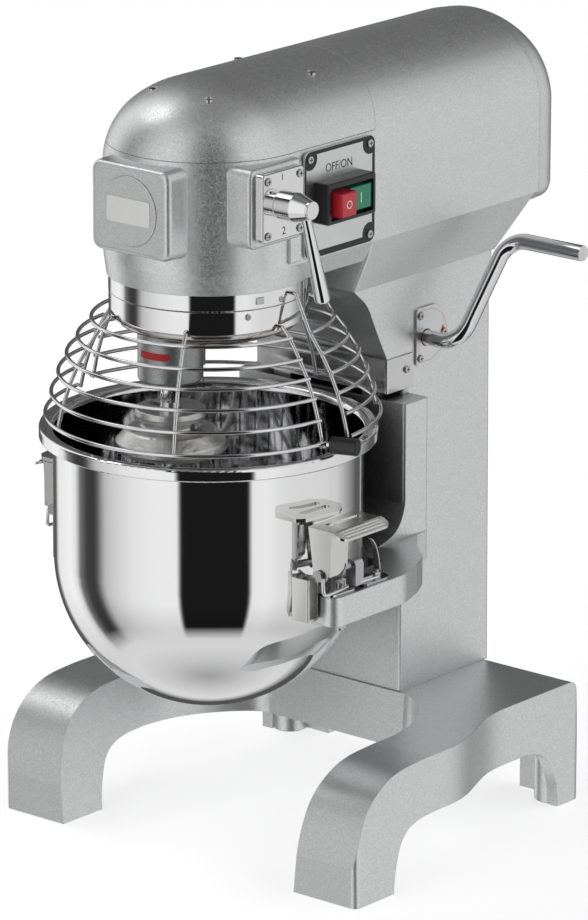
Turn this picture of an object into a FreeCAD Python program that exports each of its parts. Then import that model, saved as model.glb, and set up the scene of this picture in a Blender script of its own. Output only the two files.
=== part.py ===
import FreeCAD, Part
import math
import os

# Commercial stand mixer, 20 litre planetary type.  Millimetres, +Z up.
# Origin: centre of the four floor-bolt holes, on the floor.
# The front of the machine faces -Y; crank, switch and speed lever are on +X.

V = FreeCAD.Vector

# ------------------------------------------------------------ driving sizes
BOLT_X, BOLT_Y, BOLT_R = 187.0, 190.0, 5.5      # floor bolt half spacings, hole radius
PAD_T = 1.5                                     # casting stands this high on its pads
BASE_TOP = 138.6
FOOT_OUT, REAR_OUT = 246.75, 210.0              # outer half widths, front feet / rear legs
FRONT_Y, REAR_Y = -220.5, 212.0
AX_Y = -167.0                                   # planetary, bowl and nose axis
COL_X = 89.25                                   # column half width
COL_F, COL_R = 45.15, 199.5                     # column front and rear faces
HEAD_Z = 601.65                                 # joint between column and head
SIDE = 109.5                                    # head half width and nose radius
CHAM_Z = 659.4                                  # top of the head's lower chamfer
SEAM_Z = 778.0                                  # joint of the gearbox cover
SEAM_Y = -27.0                                  # rear joint of the gearbox cover
HEAD_REAR = 252.0
REAR_COVER_Y = 286.6
NOSE_Z = 637.35                                 # underside of the nose
BOWL_R, BOWL_T = 163.8, 2.0                     # bowl outer radius and sheet
BOWL_CZ = 331.8                                 # centre of the round bottom
RIM_R, RIM_Z = 178.5, 472.5
ORBIT = 40.0                                    # planet axis offset
PLANET_A = math.radians(225.0)                  # its direction at rest
GEAR_M = 2.0
RING_N, PINION_N = 60, 20
MAIN_N, LAY_N, LAY_M = 60, 22, 2.5
LAY_Y = AX_Y + LAY_M * (MAIN_N + LAY_N) / 2.0
MOTOR_Y = 150.0
LIFT_Y, LIFT_Z = 82.95, 528.7                   # crank shaft axis
ROD_R = 8.6
LIFT_L = 77.78                                  # inner arm, pin circle
RUN = 0.05                                      # running clearance per side
SEL_Y, SEL_Z = -217.0, 741.0                   # speed selector axis
FORK_Z0, FORK_Z1 = 293.0, 324.5
TIP_Y = -197.0                                  # front end of the yoke arms
PLATE_X, PLATE_T = 116.0, 12.0                   # speed plate seat and thickness
HUB_Z = 724.7
HUB_Y = -291.0                                  # face of the front hub boss
CLAMP_X, CLAMP_Z = 184.0, 350.0                 # clamp lever pivot
WIRE = 2.1                                      # guard wire radius

PX = ORBIT * math.cos(PLANET_A)
PY = AX_Y + ORBIT * math.sin(PLANET_A)

os.makedirs("parts", exist_ok=True)


# ------------------------------------------------------------ helpers
def rounded(points, close=True):
    """Edges of a polyline of (Vector, radius) whose corners are arcs."""
    n = len(points)
    stops = []
    for i in range(n):
        p, r = points[i]
        if r <= 0 or (not close and i in (0, n - 1)):
            stops.append((p, p, None))
            continue
        a = points[i - 1][0].sub(p)
        b = points[(i + 1) % n][0].sub(p)
        a.normalize()
        b.normalize()
        half = a.getAngle(b) / 2.0
        t = r / math.tan(half)
        mid = a.add(b)
        mid.normalize()
        c = p.add(mid.multiply(r / math.sin(half)))
        inner = p.sub(c)
        inner.normalize()
        stops.append((p.add(a * t), p.add(b * t), c.add(inner * r)))
    edges = []
    for i in range(n):
        s, e, m = stops[i]
        if m is not None:
            edges.append(Part.Arc(s, m, e).toShape())
        if i == n - 1 and not close:
            break
        nxt = stops[(i + 1) % n][0]
        if e.distanceToPoint(nxt) > 1e-6:
            edges.append(Part.LineSegment(e, nxt).toShape())
    return edges


def place(u, v, plane, at):
    if plane == "xy":
        return V(u, v, at)
    if plane == "yz":
        return V(at, u, v)
    return V(u, at, v)


def outline(pts, plane, at):
    q = [(place(p[0], p[1], plane, at), p[2] if len(p) > 2 else 0.0) for p in pts]
    return Part.Wire(Part.__sortEdges__(rounded(q)))


def prism(pts, plane, lo, hi):
    f = Part.Face(outline(pts, plane, lo))
    d = {"xy": V(0, 0, hi - lo), "yz": V(hi - lo, 0, 0), "xz": V(0, hi - lo, 0)}[plane]
    return f.extrude(d)


def mixed(segs, plane, at):
    """A closed wire; each item is a list of points, two for a line, more for a smooth curve."""
    edges = []
    for s in segs:
        p = [place(a, b, plane, at) for a, b in s]
        if len(p) == 2:
            edges.append(Part.LineSegment(p[0], p[1]).toShape())
        else:
            c = Part.BSplineCurve()
            c.interpolate(p)
            edges.append(c.toShape())
    return Part.Wire(edges)


def box(x0, x1, y0, y1, z0, z1):
    return Part.makeBox(x1 - x0, y1 - y0, z1 - z0, V(x0, y0, z0))


def cyl(r, lo, hi, x=0.0, y=0.0, axis="z", z=0.0):
    if axis == "z":
        return Part.makeCylinder(r, hi - lo, V(x, y, lo), V(0, 0, 1))
    if axis == "x":
        return Part.makeCylinder(r, hi - lo, V(lo, y, z), V(1, 0, 0))
    return Part.makeCylinder(r, hi - lo, V(x, lo, z), V(0, 1, 0))


def turned(pts, x=0.0, y=0.0, angle=360.0):
    """Revolve (radius, z[, corner radius]) about the vertical axis at x, y."""
    q = [(V(p[0], 0, p[1]), p[2] if len(p) > 2 else 0.0) for p in pts]
    f = Part.Face(Part.Wire(Part.__sortEdges__(rounded(q))))
    s = f.revolve(V(0, 0, 0), V(0, 0, 1), angle)
    s.translate(V(x, y, 0))
    return s


def turned_x(pts, y, z):
    """Revolve (x, radius[, corner radius]) about the +X axis at y, z."""
    q = [(V(p[0], 0, p[1]), p[2] if len(p) > 2 else 0.0) for p in pts]
    f = Part.Face(Part.Wire(Part.__sortEdges__(rounded(q))))
    s = f.revolve(V(0, 0, 0), V(1, 0, 0), 360)
    s.translate(V(0, y, z))
    return s


def rod(points, r):
    """A round rod along (x, y, z[, bend radius]) points: straight cylinders joined by bends."""
    q = [(V(*p[:3]), p[3] if len(p) > 3 else 0.0) for p in points]
    n = len(q)
    at = q[0][0]
    parts = []
    for i in range(1, n):
        p, rad = q[i]
        if i < n - 1 and rad > 0:
            a = q[i - 1][0].sub(p)
            c = q[i + 1][0].sub(p)
            a.normalize()
            c.normalize()
            half = a.getAngle(c) / 2.0
            if math.pi - 2 * half < 1e-3:
                continue
            t = rad / math.tan(half)
            s = p.add(a * t)
            mid = a.add(c)
            mid.normalize()
            o = p.add(mid * (rad / math.sin(half)))
            leg = s.sub(at)
            if leg.Length > 1e-4:
                parts.append(Part.makeCylinder(r, leg.Length, at, leg))
            d = a * -1.0
            f = Part.Face(Part.Wire(Part.makeCircle(r, s, d)))
            parts.append(f.revolve(o, s.sub(o).cross(d), math.degrees(math.pi - 2 * half)))
            at = p.add(c * t)
        else:
            leg = p.sub(at)
            parts.append(Part.makeCylinder(r, leg.Length, at, leg))
            at = p
    s = parts[0]
    if len(parts) > 1:
        s = s.multiFuse(parts[1:])
    return s


def fuse(*shapes):
    s = shapes[0]
    if len(shapes) > 1:
        s = s.multiFuse(list(shapes[1:]))
    return s.removeSplitter()


def group(shapes):
    return Part.makeCompound(list(shapes))


def mirror_x(s):
    return s.mirror(V(0, 0, 0), V(1, 0, 0))


def both(s):
    return group([s, mirror_x(s)])


def soften(s, r, pick):
    """Round the edges that pick() accepts, one group at a time."""
    e = [k for k in s.Edges if pick(k)]
    if not e:
        return s
    try:
        t = s.makeFillet(r, e)
        if t.isValid() and t.Volume > 0:
            return t
    except Exception:
        pass
    return s


def screw(p, d, r, h=2.0, shank=0.0):
    """A pan-head screw with a cross recess; p is on the seat, d points out."""
    d = V(*d)
    p = V(*p)
    head = Part.makeCylinder(r, h, p, d)
    head = soften(head, min(h * 0.55, r * 0.4), lambda e: e.Length > 2 * r and abs(e.CenterOfMass.sub(p).dot(d) - h) < 0.01)
    side = V(0, 0, 1) if abs(d.z) < 0.5 else V(1, 0, 0)
    other = d.cross(side)
    for a, b in ((side, other), (other, side)):
        slot = Part.makeBox(r * 1.1, r * 0.28, h, V(0, 0, 0))
        slot.translate(V(-r * 0.55, -r * 0.14, 0))
        m = FreeCAD.Matrix(a.x, b.x, d.x, 0, a.y, b.y, d.y, 0, a.z, b.z, d.z, 0, 0, 0, 0, 1)
        slot = slot.transformGeometry(m) if False else slot.transformed(m)
        slot.translate(p.add(d * (h * 0.5)))
        head = head.cut(slot)
    if shank > 0:
        head = head.fuse(Part.makeCylinder(r * 0.5, shank, p.sub(d * shank), d))
    return head


def gear_points(n, m, tip, root, thin, phase):
    """Outline of a spur gear with involute flanks; one tooth is centred on phase."""
    rp = m * n / 2.0
    pa = math.radians(20.0)
    rb = rp * math.cos(pa)

    def inv(a):
        return math.tan(a) - a

    half_p = math.pi / (2 * n) - thin / (2.0 * rp)

    def half(r):
        a = math.acos(min(1.0, rb / max(r, rb)))
        return half_p + inv(pa) - inv(a)

    lo = max(root, rb)
    rs = [lo + (tip - lo) * k / 4.0 for k in range(5)]
    pts = []
    for k in range(n):
        c = phase + 2 * math.pi * k / n
        if root < lo - 1e-6:
            pts.append((root, c - half(lo)))
        for r in rs:
            pts.append((r, c - half(r)))
        for r in reversed(rs):
            pts.append((r, c + half(r)))
        if root < lo - 1e-6:
            pts.append((root, c + half(lo)))
    return pts


def gear(n, m, z0, z1, bore, x, y, phase, thin=0.2, internal=0.0):
    rp = m * n / 2.0
    if internal:
        # the cutter that leaves an internal ring: its teeth are the ring's spaces
        pts = gear_points(n, m, rp + 1.25 * m, rp - 0.95 * m, -thin, phase)
    else:
        pts = gear_points(n, m, rp + 0.95 * m, rp - 1.25 * m, thin, phase)
    vs = [V(x + r * math.cos(a), y + r * math.sin(a), z0) for r, a in pts]
    f = Part.Face(Part.makePolygon(vs + [vs[0]]))
    s = f.extrude(V(0, 0, z1 - z0))
    if internal:
        return cyl(internal, z0, z1, x, y).cut(s)
    return s.cut(cyl(bore, z0 - 1, z1 + 1, x, y))


names = []


def out(name, shape):
    sol = shape.Solids
    shape = sol[0] if len(sol) == 1 else Part.makeCompound(sol)
    names.append(name)
    shape.exportStep("parts/%s.step" % name)
    print("%-22s solids %3d  volume %12.1f  valid %s" % (name, len(sol), shape.Volume, shape.isValid()))


# ------------------------------------------------------------ base
def base_casting():
    plan = [(FOOT_OUT, FRONT_Y, 7), (FOOT_OUT, -42, 150), (REAR_OUT, 46, 150), (REAR_OUT, REAR_Y, 14),
            (-REAR_OUT, REAR_Y, 14), (-REAR_OUT, 46, 150), (-FOOT_OUT, -42, 150), (-FOOT_OUT, FRONT_Y, 7)]
    body = prism(plan, "xy", PAD_T, BASE_TOP)
    z = PAD_T
    side = mixed([
        [(-220.5, z), (-220.5, 44)],
        [(-220.5, 44), (-214.6, 77.7), (-204.0, 101.9), (-183, 122), (-157.5, 133.4), (-130, 137.4), (-105, 138.6)],
        [(-105, 138.6), (188, 138.6)],
        [(188, 138.6), (196, 136.6), (201.5, 128)],
        [(201.5, 128), (212, z)],
        [(212, z), (169, z)],
        [(169, z), (166.95, 27.3), (159.6, 46.2), (146, 64), (128, 72.5), (96.6, 75)],
        [(96.6, 75), (-85, 75.6)],
        [(-85, 75.6), (-110, 74.2), (-128, 70), (-142, 60.5), (-151, 42), (-156, 20), (-157.5, z)],
        [(-157.5, z), (-220.5, z)],
    ], "yz", -260)
    body = body.common(Part.Face(side).extrude(V(520, 0, 0)))

    def mouth(w, at):
        k = w / 175.35
        c = [(97 * k, 43.05), (112 * k, 38), (126 * k, 27.3), (150 * k, -1.05), (168 * k, -36.75), (174.5 * k, -68), (w, -95)]
        l = [(-a, b) for a, b in reversed(c)]
        return mixed([c, [(w, -95), (w, -400)], [(w, -400), (-w, -400)], [(-w, -400), (-w, -95)], l,
                      [(-97 * k, 43.05), (97 * k, 43.05)]], "xy", at)

    body = body.cut(Part.makeLoft([mouth(161.7, -2), mouth(175.6, 142)], True, True))
    arch = prism([(-136.5, -5), (-136.5, 74.5, 22), (136.5, 74.5, 22), (136.5, -5)], "xz", 92, 240)
    body = body.cut(arch)
    # cored underside: deck 18 mm, walls 14 mm
    inner = prism([(-206, -5), (-206, 40), (-199, 70), (-188, 91), (-165, 110), (-132, 119), (196, 119), (198, -5)], "yz", -260, 260)
    rail = prism([(190, -206, 6), (232.5, -206, 6), (232.5, -45, 120), (196, 46, 120), (196, 197, 6), (112, 197, 6),
                  (112, 62, 6), (150, 48, 6), (178, 0, 20), (190, -60, 40)], "xy", -5, 119).common(inner)
    posts = [cyl(20, -10, 130, BOLT_X, s * BOLT_Y) for s in (-1, 1)]
    for p in posts:
        rail = rail.cut(p)
    deck = prism([(-98, 58, 8), (98, 58, 8), (98, 196, 8), (-98, 196, 8)], "xy", -5, 119)
    body = body.cut(rail).cut(mirror_x(rail)).cut(deck)
    for sx in (-1, 1):
        for sy in (-1, 1):
            body = body.cut(cyl(BOLT_R, -1, 45, sx * BOLT_X, sy * BOLT_Y))
            body = body.cut(cyl(17.2, -1, 4.0, sx * BOLT_X, sy * BOLT_Y))
    for x, y in COL_BOLTS:
        body = body.cut(cyl(5.6, 100, 150, x, y))
    return body


COL_BOLTS = [(-66, 76), (66, 76), (-66, 168), (66, 168)]

out("base_casting", base_casting())
out("base_pads", group([cyl(17.1, 0, 3.9, sx * BOLT_X, sy * BOLT_Y).cut(cyl(8.0, -1, 5, sx * BOLT_X, sy * BOLT_Y))
                        for sx in (-1, 1) for sy in (-1, 1)]))


def hexagon(r, x, y, z0, z1):
    return prism([(x + r * math.cos(math.radians(60 * k)), y + r * math.sin(math.radians(60 * k))) for k in range(6)], "xy", z0, z1)


out("base_bolts", group([fuse(hexagon(9.5, x, y, 112.5, 119.0), cyl(5.0, 119.0, 158, x, y)) for x, y in COL_BOLTS]))


# ------------------------------------------------------------ column
def column_casting():
    prof = [(COL_F, BASE_TOP), (COL_F, 478), (21.5, 478), (19.0, 517.5), (2.6, 549, 60), (-13.5, 583, 50), (-36, HEAD_Z, 0),
            (200, HEAD_Z), (196.0, 546), (COL_R, BASE_TOP)]
    s = prism(prof, "yz", -COL_X, COL_X)
    s = soften(s, 5.0, lambda e: abs(abs(e.CenterOfMass.x) - COL_X) < 0.01 and e.BoundBox.ZLength > 30 and e.CenterOfMass.y > 190)
    s = soften(s, 3.0, lambda e: abs(abs(e.CenterOfMass.x) - COL_X) < 0.01 and e.BoundBox.ZLength > 100 and abs(e.CenterOfMass.y - COL_F) < 0.01)
    cav = box(-77, 77, 58, 184, BASE_TOP - 1, 590)
    for x, y in COL_BOLTS:
        cav = cav.cut(cyl(15, 130, 172, x, y))
        cav = cav.cut(box(min(x, 90 if x > 0 else -90), max(x, 90 if x > 0 else -90), y - 10, y + 10, 130, 172))
    s = s.cut(cav)
    s = s.cut(box(-60, 60, 84, 180, 580, 620))
    s = s.cut(prism([(-30, 280, 6), (30, 280, 6), (30, 470, 6), (-30, 470, 6)], "xz", 40, 62))
    for x, y in COL_BOLTS:
        s = s.cut(cyl(5.05, 130, 160, x, y))
    s = fuse(s, cyl(16, -COL_X, -60, y=LIFT_Y, z=LIFT_Z, axis="x").cut(box(-100, 100, -200, 57, 0, 900)),
             cyl(16, 60, COL_X, y=LIFT_Y, z=LIFT_Z, axis="x").cut(box(-100, 100, -200, 57, 0, 900)))
    s = s.cut(cyl(ROD_R + RUN, -120, 120, y=LIFT_Y, z=LIFT_Z, axis="x"))
    s = s.cut(cyl(8.0, 180, 220, x=-50, z=185, axis="y"))
    return s


out("column_casting", column_casting())

RAIL_X0, RAIL_X1, RAIL_F = 50.0, 73.0, 26.0
out("slide_rails", both(box(RAIL_X0, RAIL_X1, RAIL_F, COL_F, 296, 477)))


def slideway_cover():
    t = 1.6
    x = COL_X + 0.1
    outer = prism([(-x - t, 61), (-x - t, 17.0, 3), (x + t, 17.0, 3), (x + t, 61)], "xy", 479.2, 516.2)
    inner = box(-x, x, 17.0 + t, 62, 470, 530)
    s = outer.cut(inner)
    lip = box(-x, x, 17.0 + 0.2, 21.0, 479.2, 480.8)
    col = prism([(21.4, 470), (21.4, 478), (18.7, 520), (80, 520), (80, 470)], "yz", -COL_X, COL_X)
    return fuse(s, lip).cut(col)


out("slideway_cover", slideway_cover())
out("cover_screws", group([screw((s * (COL_X + 1.7), 50, 500), (s, 0, 0), 4.2, 2.6) for s in (1, -1)]))
out("cable_gland", fuse(cyl(7.9, 184.5, 199.6, x=-50, z=185, axis="y"),
                        prism([(-50 + 13 * math.cos(math.radians(60 * k)), 185 + 13 * math.sin(math.radians(60 * k))) for k in range(6)], "xz", 199.4, 205.5),
                        Part.makeCone(11, 8, 9, V(-50, 205.5, 185), V(0, 1, 0))).cut(cyl(4.0, 180, 220, x=-50, z=185, axis="y")))


# ------------------------------------------------------------ head
SEC = [(0, 846.5), (26, 843.6), (50, 836.4), (72, 824.6), (87, 812), (98, 797.3), (105, 782), (108.6, 768), (SIDE, 752)]
SEC_IN = [(0, 838.5), (24, 835.8), (46, 829), (66, 817.8), (80, 806), (90, 792.5), (96, 779), (99.3, 766), (100.5, 750)]


def half_section(sec, zb, plane, at, sign=1):
    side = sec[-1][0]
    return mixed([[(sign * a, b) for a, b in sec], [(sign * side, sec[-1][1]), (sign * side, zb)],
                  [(sign * side, zb), (0, zb)], [(0, zb), (0, sec[0][1])]], plane, at)


def head_block(sec, zb, y0, y1):
    half = Part.Face(half_section(sec, zb, "xz", 0))
    a = half.revolve(V(0, 0, 0), V(0, 0, 1), -90)
    b = half.extrude(V(0, y1 - y0, 0))
    right = a.fuse(b)
    right.translate(V(0, y0, 0))
    return right, right.mirror(V(0, 0, 0), V(1, 0, 0))


def loft_rect(z0, a, z1, b, r=0.0):
    def w(z, q):
        x0, x1, y0, y1 = q
        return outline([(x0, y0, r), (x1, y0, r), (x1, y1, r), (x0, y1, r)], "xy", z)
    return Part.makeLoft([w(z0, a), w(z1, b)], True, True)


SEAM_PTS = [(-400, SEAM_Z), (SEAM_Y + 0.43 * 8, SEAM_Z), (SEAM_Y + 0.43 * 130, 900), (-400, 900)]

nose, body = head_block(SEC, CHAM_Z, AX_Y, HEAD_REAR)
nose_in, body_in = head_block(SEC_IN, 668.5, AX_Y, HEAD_REAR + 5)
upper = nose.fuse(body)
hollow = nose_in.fuse(body_in)


def hub_boss(grow=0.0):
    f = outline([(-53.0 - grow, 677.5 - grow, 11), (53.0 + grow, 677.5 - grow, 11), (53.0 + grow, 772.0 + grow, 11), (-53.0 - grow, 772.0 + grow, 11)], "xz", HUB_Y)
    g = outline([(-56.0 - grow, 674.5 - grow, 12), (56.0 + grow, 674.5 - grow, 12), (56.0 + grow, 775.4 + grow, 12), (-56.0 - grow, 775.4 + grow, 12)], "xz", -200)
    return Part.makeLoft([f, g], True, True)


def head_housing():
    s = upper.cut(prism(SEAM_PTS, "yz", -150, 150))
    # lower hull that carries the head on the column
    hull = loft_rect(HEAD_Z, (-COL_X, COL_X, -36, 204), CHAM_Z + 0.01, (-SIDE, SIDE, -30, 247.5), 3)
    skirt = loft_rect(NOSE_Z, (-99, 99, AX_Y, -20), CHAM_Z + 0.01, (-SIDE, SIDE, AX_Y, -20))
    neck = Part.makeCone(106.6, SIDE, CHAM_Z - NOSE_Z + 0.01, V(0, AX_Y, NOSE_Z), V(0, 0, 1))
    s = fuse(s, hull, skirt, neck)
    boss = hub_boss()
    boss = soften(boss, 6.0, lambda e: abs(e.CenterOfMass.y - HUB_Y) < 0.01)
    pad = prism([(-236.0, 690.0, 10), (-155, 690.0, 3), (-155, 774.5, 3), (-236.0, 774.5, 10)], "yz", 10, PLATE_X)
    pad = soften(pad, 4.0, lambda e: abs(e.CenterOfMass.x - PLATE_X) < 0.01)
    rib = prism([(-168.5, 663), (-150.5, 663), (-150.5, 692), (-168.5, 692)], "yz", 90, 113.0)
    rib = soften(rib, 1.5, lambda e: abs(e.CenterOfMass.x - 113.0) < 0.01)
    s = fuse(s, boss, pad, rib)
    s = s.cut(hollow)
    # inside the bosses
    s = s.cut(cyl(40.2, HUB_Y + 12.2, HUB_Y + 24, x=0, z=HUB_Z, axis="y"))
    s = s.cut(cyl(37.2, HUB_Y - 1, HUB_Y + 13, x=0, z=HUB_Z, axis="y"))
    s = s.cut(cyl(27.0, HUB_Y + 20, -200, x=0, z=HUB_Z, axis="y"))
    # belt and motor well, and the passage down into the column
    s = s.cut(box(-76, 76, 62, 232, 640, 670))
    s = s.cut(box(-76, 76, 62, 196, 613, 670))
    s = s.cut(box(-60, 60, 84, 180, 590, 670))
    # seat for the ring gear and the turning parts under the floor
    s = s.cut(cyl(92.0, NOSE_Z - 1, CHAM_Z - 1, 0, AX_Y))
    tower = fuse(cyl(40, 658, 700, 0, AX_Y), cyl(28, 658, 700, 0, LAY_Y))
    s = fuse(s, tower)
    s = s.cut(cyl(14.6, 650, 710, 0, AX_Y)).cut(cyl(30.0, 672, 701, 0, AX_Y))
    s = s.cut(cyl(20.0, 672, 701, 0, LAY_Y))
    # selector shaft, hub screws
    s = s.cut(cyl(8.0 + RUN, 60, 140, y=SEL_Y, z=SEL_Z, axis="x"))
    # switch body window
    s = s.cut(box(80, 120, -127, -55, 701, 740))
    return s


hh = head_housing()
out("head_housing", hh)


def top_cover():
    so = [p for p in SEC if p[1] > SEAM_Z + 2] + [(106.2, SEAM_Z)]
    si = [p for p in SEC_IN if p[1] > SEAM_Z + 2] + [(96.5, SEAM_Z)]

    def shell(y):
        return mixed([so, [so[-1], si[-1]], list(reversed(si)), [si[0], so[0]]], "xz", y)
    a = Part.Face(shell(0)).revolve(V(0, 0, 0), V(0, 0, 1), -180)
    a.translate(V(0, AX_Y, 0))
    b = Part.Face(shell(AX_Y)).extrude(V(0, 220, 0))
    full = fuse(a, b, b.mirror(V(0, 0, 0), V(1, 0, 0)))
    return full.common(prism(SEAM_PTS, "yz", -150, 150))


tcs = []
for x, y in ((-38, -210), (38, -210), (-50, -60), (50, -60)):
    tcs.append((x, y))


def top_z(x, y):
    r = math.hypot(x, min(0.0, y - AX_Y)) if y < AX_Y else abs(x)
    for (a, b), (c, d) in zip(SEC, SEC[1:]):
        if a <= r <= c:
            return b + (d - b) * (r - a) / (c - a)
    return SEC[-1][1]


cover_s = top_cover()
plugs = []
for x, y in tcs:
    z = top_z(x, y)
    k = cyl(4.6, z - 14, z + 1.2, x, y)
    k = k.cut(hexagon(2.6, x, y, z - 2, z + 3))
    plugs.append(k)
cover_s2 = cover_s
for x, y in tcs:
    cover_s2 = cover_s2.cut(cyl(4.65, 700, 900, x, y))
out("gearbox_top_cover", cover_s2)
out("top_cover_screws", group(plugs))


def rear_cover():
    def wire(y, inset):
        cx, cz = 0.0, 743.0
        kx = (SIDE - 0.6 - inset) / SIDE
        kz = (103.5 - 0.6 - inset) / 103.5
        pts = [(-p[0], p[1]) for p in reversed(SEC[1:])] + list(SEC)
        pts = [(cx + a * kx, cz + (b - cz) * kz) for a, b in pts]
        zb = cz + (648.0 - cz) * kz
        x = SIDE * kx
        zt = cz + (SEC[-1][1] - cz) * kz
        r = 13.0
        low = [(x, zt), (x, zb + r)]
        cr = [(x, zb + r), (x - r * 0.293, zb + r * 0.293), (x - r, zb)]
        cl = [(-a, b) for a, b in reversed(cr)]
        return mixed([pts, low, cr, [(x - r, zb), (-x + r, zb)], cl, [(-x, zb + r), (-x, zt)]], "xz", y)
    o = Part.makeLoft([wire(HEAD_REAR + 0.2, 0), wire(266, 0.8), wire(277, 3.6), wire(284, 9.0), wire(REAR_COVER_Y, 18)], True, False)
    i = Part.makeLoft([wire(HEAD_REAR - 1, 4), wire(266, 4.8), wire(277, 8), wire(282.5, 16)], True, False)
    s = o.cut(i)
    for x, z in REAR_SCREWS:
        s = fuse(s, cyl(7, 262, 285.5, x=x, z=z, axis="y").common(o))
        s = s.cut(cyl(2.6, 250, 290, x=x, z=z, axis="y"))
    return s


REAR_SCREWS = [(-70, 800), (70, 800), (-84, 672), (84, 672)]
rc_screws = [screw((x, 285.6, z), (0, 1, 0), 5.0, 2.6) for x, z in REAR_SCREWS]
out("rear_cover", rear_cover().cut(Part.makeCompound([cyl(5.0, 285.6, 300, x=x, z=z, axis="y") for x, z in REAR_SCREWS])))
out("rear_cover_screws", group(rc_screws))

# attachment hub cap and its plate
cap = fuse(cyl(36.9, HUB_Y - 1.2, HUB_Y + 12.4, x=0, z=HUB_Z, axis="y"), cyl(39.9, HUB_Y + 12.4, HUB_Y + 20, x=0, z=HUB_Z, axis="y"))
out("hub_cap", soften(cap, 0.8, lambda e: abs(e.CenterOfMass.y - (HUB_Y - 1.2)) < 0.01))
out("badge_plate", prism([(-29, 711.5, 3), (29, 711.5, 3), (29, 738.5, 3), (-29, 738.5, 3)], "xz", HUB_Y - 2.2, HUB_Y - 1.2))

# speed plate, selector and lever
pl = prism([(-230.0, 698.0, 5), (-164.5, 698.0, 5), (-164.5, 770.5, 5), (-230.0, 770.5, 5)], "yz", PLATE_X, PLATE_X + PLATE_T)
pl = soften(pl, 2.0, lambda e: abs(e.CenterOfMass.x - PLATE_X - PLATE_T) < 0.01)
out("speed_plate", pl.cut(cyl(8.0 + RUN, 100, 140, y=SEL_Y, z=SEL_Z, axis="x")))
SPS = [(-222.5, 705.5), (-172.0, 705.5), (-222.5, 763.0), (-172.0, 763.0)]
out("speed_plate_screws", group([screw((PLATE_X + PLATE_T, y, z), (1, 0, 0), 4.2, 2.2) for y, z in SPS]))
sel = turned_x([(66, 0), (66, 7.0), (76, 7.0), (76, 8.0), (128.1, 8.0), (128.1, 14.2, 1), (141.5, 14.2, 0.6), (141.5, 13.6), (142.4, 13.6), (142.4, 15.4, 1),
                (163, 15.4, 4), (180, 9.9, 0.6), (183.5, 9.7, 1.2), (183.5, 0)], SEL_Y, SEL_Z)
sel = fuse(sel, prism([(SEL_Y - 7, SEL_Z), (SEL_Y + 7, SEL_Z), (SEL_Y + 4.5, SEL_Z + 19, 3), (SEL_Y - 4.5, SEL_Z + 19, 3)], "yz", 67, 75))
lv_x = 171.5
ldir = V(0, 30.0, -103.0)
ll = ldir.Length
ldir.normalize()
start = V(lv_x, SEL_Y, SEL_Z)
seat = Part.makeCylinder(5.55, 14.0, start.add(ldir * 6.0), ldir)
sel = sel.cut(seat)
out("speed_selector", sel)
lever = Part.makeCylinder(5.5, 13.0, start.add(ldir * 7.0), ldir)
lever = lever.fuse(Part.makeCone(5.5, 8.2, ll - 24, start.add(ldir * 20.0), ldir))
endc = Part.makeCylinder(8.2, 5.0, start.add(ldir * (ll - 4.0)), ldir)
endc = soften(endc, 3.0, lambda e: e.CenterOfMass.z < start.z + ldir.z * (ll + 0.5) and e.Length > 30)
lever = fuse(lever, endc)
out("speed_lever", lever)

# switch plate, box and buttons
SW_X = SIDE + 2.6
swp = [(-144.9, 661.5, 7), (-30.9, 661.5, 7), (-30.9, 776, 7), (-144.9, 776, 7)]
out("switch_plate", prism(swp, "yz", SIDE + 0.13, SW_X).cut(box(100, 120, -126.6, -55.4, 701.4, 739.6)))
SWS = [(-136.5, 670), (-39.5, 670), (-136.5, 767.5), (-39.5, 767.5)]
out("switch_plate_screws", group([screw((SW_X, y, z), (1, 0, 0), 4.4, 2.2) for y, z in SWS]))
shroud = prism([(-126.4, 701.6, 2), (-55.6, 701.6, 2), (-55.6, 739.4, 2), (-126.4, 739.4, 2)], "yz", 86, 114)
face = prism([(-130.0, 698.5, 3), (-51.5, 698.5, 3), (-51.5, 742.5, 3), (-130.0, 742.5, 3)], "yz", SW_X + 0.05, 131)
shroud = fuse(shroud, soften(face, 2.0, lambda e: abs(e.CenterOfMass.x - 131) < 0.01))
shroud = shroud.cut(prism([(-124.5, 702.5, 2), (-56.0, 702.5, 2), (-56.0, 736.5, 2), (-124.5, 736.5, 2)], "yz", 123, 140))
RED = (-120.5, -97.0)
GRN = (-94.0, -60.0)
for y0, y1 in (RED, GRN):
    shroud = shroud.cut(box(89, 140, y0 - 0.06, y1 + 0.06, 707.0 - 0.06, 732.5 + 0.06))
out("switch_housing", shroud)
out("stop_button", soften(box(94.0, 142.5, RED[0], RED[1], 707.0, 732.5), 1.6, lambda e: abs(e.CenterOfMass.x - 142.5) < 0.01))
out("start_button", soften(box(94.0, 131.5, GRN[0], GRN[1], 707.0, 732.5), 1.2, lambda e: abs(e.CenterOfMass.x - 131.5) < 0.01))

# ------------------------------------------------------------ planetary drive
collar = turned([(92.5, 622.9), (98.0, 622.9), (98.0, 595.0), (100.9, 595.0), (100.9, 619.4), (104.6, 619.4, 1.2), (104.6, NOSE_Z - 0.1),
                                (92.5, NOSE_Z - 0.1)], 0, AX_Y)
for a in (5.0, 47.5, 90.0, 132.5, 175.0):
    ca, sa = math.cos(math.radians(a)), math.sin(math.radians(a))
    collar = collar.cut(Part.makeCylinder(2.1, 14, V(101.5 * ca, AX_Y + 101.5 * sa, 629.5), V(ca, sa, 0)))
out("planetary_collar", collar)
out("ring_gear", gear(RING_N, GEAR_M, 640.5, 655.0, 0, 0, AX_Y, PLANET_A, thin=0.2, internal=91.9))
pinion_phase = PLANET_A
out("planet_pinion", gear(PINION_N, GEAR_M, 641.5, 654.0, 11.05, PX, PY, pinion_phase, thin=0.2))


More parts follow.
